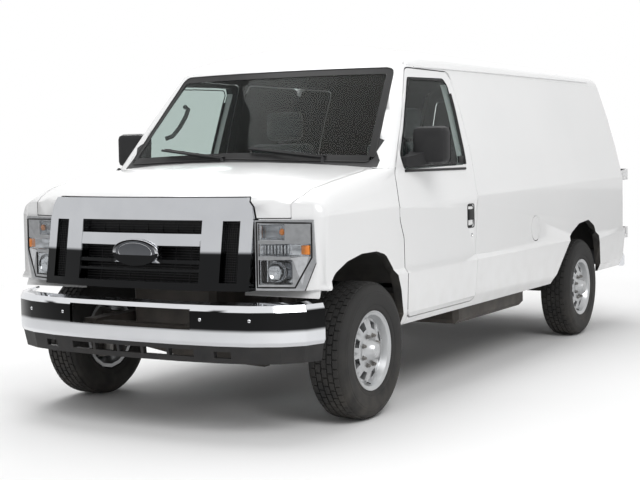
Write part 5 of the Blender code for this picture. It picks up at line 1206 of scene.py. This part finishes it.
def addSmallTrim(s):
    for side, tag in bothSides:
        addDoorTrim(s, side, tag)
    grab = addWire(s["grab"], s["grabSize"], roundness=3)
    settle(grab, "pillarHandle", greyTrim, bodyOf("roof_panel"), 60)
    for name, x, y in s["bases"]:
        spots = [skinPoint(n, (x, y, 2.2), (0, 0, -1)) for n in ("hood", "cowl", "fender_right")]
        spots = [p for p in spots if p is not None]
        if not spots:
            continue
        top = max(spots, key=lambda p: p.z)
        owner = "hood" if name.startswith("screen") else "fender_right"
        line = [(x + r, y, top.z + h) for r, h in s["baseProfile"]]
        base = turnLine(line, (x, y, top.z), (0, 0, 1), 28)
        settle(base, name, blackPlastic, bodyOf(owner), 40)


addSmallTrim(trimSet)
print("small trim made")

# ---- rear: door handle, blank plate; the side cargo door's handle

rearSet = {"plate": (0.16, 0.47, 0.905, 1.060), "handle": (-0.115, -0.055, 0.985, 1.130)}


def addRearDetail(s):
    x0, x1, z0, z1 = s["plate"]
    face = rearPoint("rear_door_left", (x0 + x1) / 2, (z0 + z1) / 2).y
    surround = addBlock((x0 - 0.014, face - 0.002, z0 - 0.014), (x1 + 0.014, face + 0.005, z1 + 0.014), 0.004, 3)
    settle(surround, "plateHolder", blackPlastic, bodyOf("rear_door_left"), 40)
    sheet = addBlock((x0, face + 0.0045, z0), (x1, face + 0.0065, z1), 0.0008, 2)
    settle(sheet, "blankPlate", wheelSilver, bodyOf("rear_door_left"), 40)
    x0, x1, z0, z1 = s["handle"]
    face = rearPoint("rear_door_right", (x0 + x1) / 2, (z0 + z1) / 2).y
    dish = addBlock((x0, face - 0.002, z0), (x1, face + 0.0025, z1), 0.002, 2)
    grip = addBlock((x0 + 0.010, face + 0.002, z0 + 0.055), (x1 - 0.010, face + 0.014, z1 - 0.020), 0.006, 4)
    settle(joinAll([dish, grip]), "rearHandle", blackPlastic, bodyOf("rear_door_right"), 40)


addRearDetail(rearSet)
addHandle(handleSet, -1, "cargo", "cargo_door_front", 0.80)
print("rear details made")

# ---- tail lamps: red ribs and a clear part for reversing

tailSet = {"low": 0.80, "high": 1.15, "margin": 0.014, "split": (0.885, 0.960), "ribs": 16, "ribSize": 0.0016,
           "lift": 0.0004, "across": (0.896, 0.910, 0.925, 0.940, 0.955, 0.968)}


def addTailLamp(s, side, tag):
    node = "tail_lamp_" + tag
    smoothCopy(node, lensRed, "tailLens_" + tag, 35)
    ribs, clear = [], []
    for k in range(s["ribs"]):
        z = s["low"] + s["margin"] + k * (s["high"] - s["low"] - 2 * s["margin"]) / (s["ribs"] - 1)
        spots = [rearPoint(node, side * x, z, s["lift"]) for x in s["across"]]
        spots = [p for p in spots if p is not None]
        if len(spots) > 1:
            kind = clear if s["split"][0] < z < s["split"][1] else ribs
            kind.append(addWire(spots, s["ribSize"], roundness=1))
    if ribs:
        settle(joinAll(ribs), "tailRibs_" + tag, lensRed, bodyOf(node), 60)
    if clear:
        settle(joinAll(clear), "reverseRibs_" + tag, lensClear, bodyOf(node), 60)


for side, tag in bothSides:
    addTailLamp(tailSet, side, tag)
print("tail lamps made")

# ---- drip rails along the roof's edges

railSet = {"points": ((-1.18, 1.905), (-1.0, 1.914), (-0.6, 1.924), (0.0, 1.932), (0.8, 1.940), (1.6, 1.947),
                      (2.25, 1.953)), "size": 0.0065, "out": 0.002}


def addDripRail(s, side, tag):
    spots, panels = [], ("body_side_" + tag, "roof_panel", "front_door_" + tag)
    for y, z in s["points"]:
        hits = [sidePoint(n, side, y, z) for n in panels]
        hits = [h for h in hits if h is not None and abs(h.x) > 0.6]
        if hits:
            spots.append(max(hits, key=lambda h: abs(h.x)) + Vector((side * s["out"], 0, 0)))
    rail = addWire(spots, s["size"], roundness=3)
    settle(rail, "dripRail_" + tag, paintWhite, bodyOf("roof_panel"), 60)


for side, tag in bothSides:
    addDripRail(railSet, side, tag)
print("drip rails made")

# ---- seats: padded cushions made by cloth simulation on hard plinths

seatSet = {"seats": (("driver", 0.440), ("passenger", -0.440)),
           "cushion": ((-0.232, -1.015, 0.868), (0.232, -0.545, 0.980)),
           "back": ((-0.232, -0.548, 0.985), (0.232, -0.414, 1.488)), "backLean": 0.02,
           "head": ((-0.130, -0.492, 1.505), (0.130, -0.398, 1.692)),
           "round": 0.045, "headRound": 0.036, "voxel": 0.008, "pressure": 4.0, "stiff": 25.0, "cap": 0.010,
           "frames": 20,
           # sewn channels: the axis, a place on it, and the side that they are on
           "cushionRows": ((0, -0.140, 2, 1), (0, 0.140, 2, 1), (1, -0.86, 2, 1)),
           "backRows": ((0, -0.140, 1, -1), (0, 0.140, 1, -1), (2, 1.17, 1, -1), (2, 1.36, 1, -1)),
           "headRows": ((2, 1.60, 1, -1),), "channel": (0.008, 0.018), "headChannel": (0.004, 0.014)}


def roundPad(low, high, bevel, lean=0.0):
    pad = addBlock(low, high, bevel, 4)
    for corner in pad.data.vertices:
        corner.co.y += lean * (corner.co.z - low[2])
    return pad


def swell(pad, s):
    # cloth under a little pressure; no point moves further than the cap
    addModifier(pad, "REMESH", mode="VOXEL", voxel_size=s["voxel"])
    start = [corner.co.copy() for corner in pad.data.vertices]
    makeActive(pad)
    cloth = pad.modifiers.new("pad", "CLOTH")
    cloth.settings.use_pressure = True
    cloth.settings.uniform_pressure_force = s["pressure"]
    cloth.settings.effector_weights.gravity = 0.0
    cloth.settings.tension_stiffness = cloth.settings.compression_stiffness = s["stiff"]
    cloth.point_cache.frame_start, cloth.point_cache.frame_end = 1, s["frames"]
    for frameNumber in range(1, s["frames"] + 1):
        scene.frame_set(frameNumber)
    bpy.context.view_layer.update()
    bpy.ops.object.modifier_apply(modifier="pad")
    scene.frame_set(1)
    for corner, old in zip(pad.data.vertices, start):
        step = corner.co - old
        if step.length > s["cap"]:
            corner.co = old + step * (s["cap"] / step.length)
    return pad


def sewn(pad, rows, depth, reach):
    # pulls sewn channels into the pad
    for corner in pad.data.vertices:
        for axis, place, normal, sign in rows:
            gap = abs(corner.co[axis] - place)
            if gap < reach and corner.normal[normal] * sign > 0.4:
                corner.co[normal] -= sign * depth * (math.cos(math.pi * gap / reach) + 1) / 2
    return pad


def addSeats(s):
    cushion = sewn(swell(roundPad(*s["cushion"], s["round"]), s), s["cushionRows"], *s["channel"])
    back = sewn(swell(roundPad(*s["back"], s["round"], s["backLean"]), s), s["backRows"], *s["channel"])
    head = sewn(swell(roundPad(*s["head"], s["headRound"]), s), s["headRows"], *s["headChannel"])
    for pad in (cushion, back, head):
        addModifier(pad, "SUBSURF", levels=1, render_levels=1)
    for tag, x in s["seats"]:
        node = tag + "_seat"
        body = bodyOf(node)
        for source, part in ((cushion, "Cushion"), (back, "Back"), (head, "Headrest")):
            piece = settle(copyOf(source, (x, 0, 0)), tag + part, seatCloth, body, 60)
        plinth = addBlock((x - 0.195, -0.975, 0.652), (x + 0.195, -0.565, 0.862), 0.015, 3)
        settle(plinth, tag + "Plinth", greyTrim, body, 40)
        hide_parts(node)
        posts = [addRod((x + d, -0.448, 1.470), (x + d, -0.448, 1.540), 0.006, 16) for d in (-0.06, 0.06)]
        rails = [addBlock((x + d - 0.014, -0.99, 0.660), (x + d + 0.014, -0.555, 0.676), 0.003, 1)
                 for d in (-0.17, 0.17)]
        lever = addRod((x - 0.205, -0.90, 0.83), (x - 0.205, -0.78, 0.83), 0.008, 16, 0.002)
        settle(joinAll([*posts, *rails, lever]), tag + "SeatSteel", satinBlack, body, 40)
    for pad in (cushion, back, head):
        bpy.data.objects.remove(pad)


addSeats(seatSet)
print("seats made")

# ---- dashboard, steering wheel and cab trim

dashSet = {"hood": ((0.235, -1.395, 1.255), (0.620, -1.235, 1.345)), "vents": (-0.72, -0.10, 0.10, 0.72),
           "slats": 6, "knobs": (-0.075, 0.0, 0.075), "keys": 6, "pivot": (0.420, -1.020, 1.215), "tilt": 28,
           "ring": 0.185, "tube": 0.0145}


def addDash(s):
    node = "dashboard"
    body = bodyOf(node)
    dash = settle(looseCopy(node, "dash_moulded"), "dash_moulded", greyTrim, body, 40)
    addModifier(dash, "BEVEL", width=0.006, segments=2, limit_method="ANGLE", angle_limit=math.radians(30))
    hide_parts(node)
    cowl = addBlock(*s["hood"], 0.030, 4)
    settle(cowl, "gaugeHood", greyTrim, body, 40)
    vents = []
    for x in s["vents"]:
        vents.append(addBlock((x - 0.062, -1.178, 1.185), (x + 0.062, -1.160, 1.255), 0.005, 2))
        for k in range(s["slats"]):
            vents.append(addBlock((x - 0.055, -1.164, 1.193 + k * 0.011), (x + 0.055, -1.154, 1.196 + k * 0.011)))
    settle(joinAll(vents), "airVents", satinBlack, body, 40)
    panel = addBlock((-0.13, -1.200, 1.010), (0.13, -1.168, 1.165), 0.008, 2)
    knobs = [addRod((x, -1.170, 1.045), (x, -1.148, 1.045), 0.016, 24, 0.003) for x in s["knobs"]]
    keys = [addBlock((-0.09 + k * 0.031, -1.170, 1.10), (-0.066 + k * 0.031, -1.160, 1.135), 0.002, 1)
            for k in range(s["keys"])]
    settle(joinAll([panel, *knobs, *keys]), "centrePanel", satinBlack, body, 40)
    lid = addBlock((-0.74, -1.205, 1.020), (-0.26, -1.180, 1.150), 0.010, 3)
    latch = addBlock((-0.53, -1.184, 1.118), (-0.47, -1.172, 1.136), 0.003, 2)
    settle(joinAll([lid, latch]), "gloveLid", greyTrim, body, 40)


def addSteeringWheel(s):
    node = "steering_wheel"
    body = bodyOf(node)
    x, y, z = s["pivot"]
    deselectAll()
    bpy.ops.mesh.primitive_torus_add(major_radius=s["ring"], minor_radius=s["tube"], major_segments=64,
                                     minor_segments=16, location=(0, 0, 0))
    ring = bpy.context.object
    pad = addBlock((-0.085, -0.060, -0.006), (0.085, 0.058, 0.030), 0.022, 4)
    spokes = [addBlock((-s["ring"], -0.012, 0.000), (s["ring"], 0.022, 0.014), 0.006, 2),
              addBlock((-0.024, -s["ring"], 0.000), (0.024, -0.02, 0.012), 0.005, 2)]
    boss = addRod((0, 0, -0.026), (0, 0, 0.004), 0.050, 32, 0.004)
    wheel = joinAll([ring, pad, *spokes, boss])
    turnAbout(wheel, s["tilt"] - 90, "X", (0, 0, 0))
    wheel.location = (x, y, z)
    settle(wheel, "steeringWheel", satinBlack, body, 40)
    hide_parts(node)
    stalks = [addRod((x + d * 0.035, y - 0.072, z - 0.012), (x + d * 0.17, y - 0.062, z + 0.020), 0.006, 14, 0.002)
              for d in (1, -1)]
    settle(joinAll(stalks), "columnStalks", satinBlack, bodyOf("dashboard"), 40)


addDash(dashSet)
addSteeringWheel(dashSet)
print("cab made")
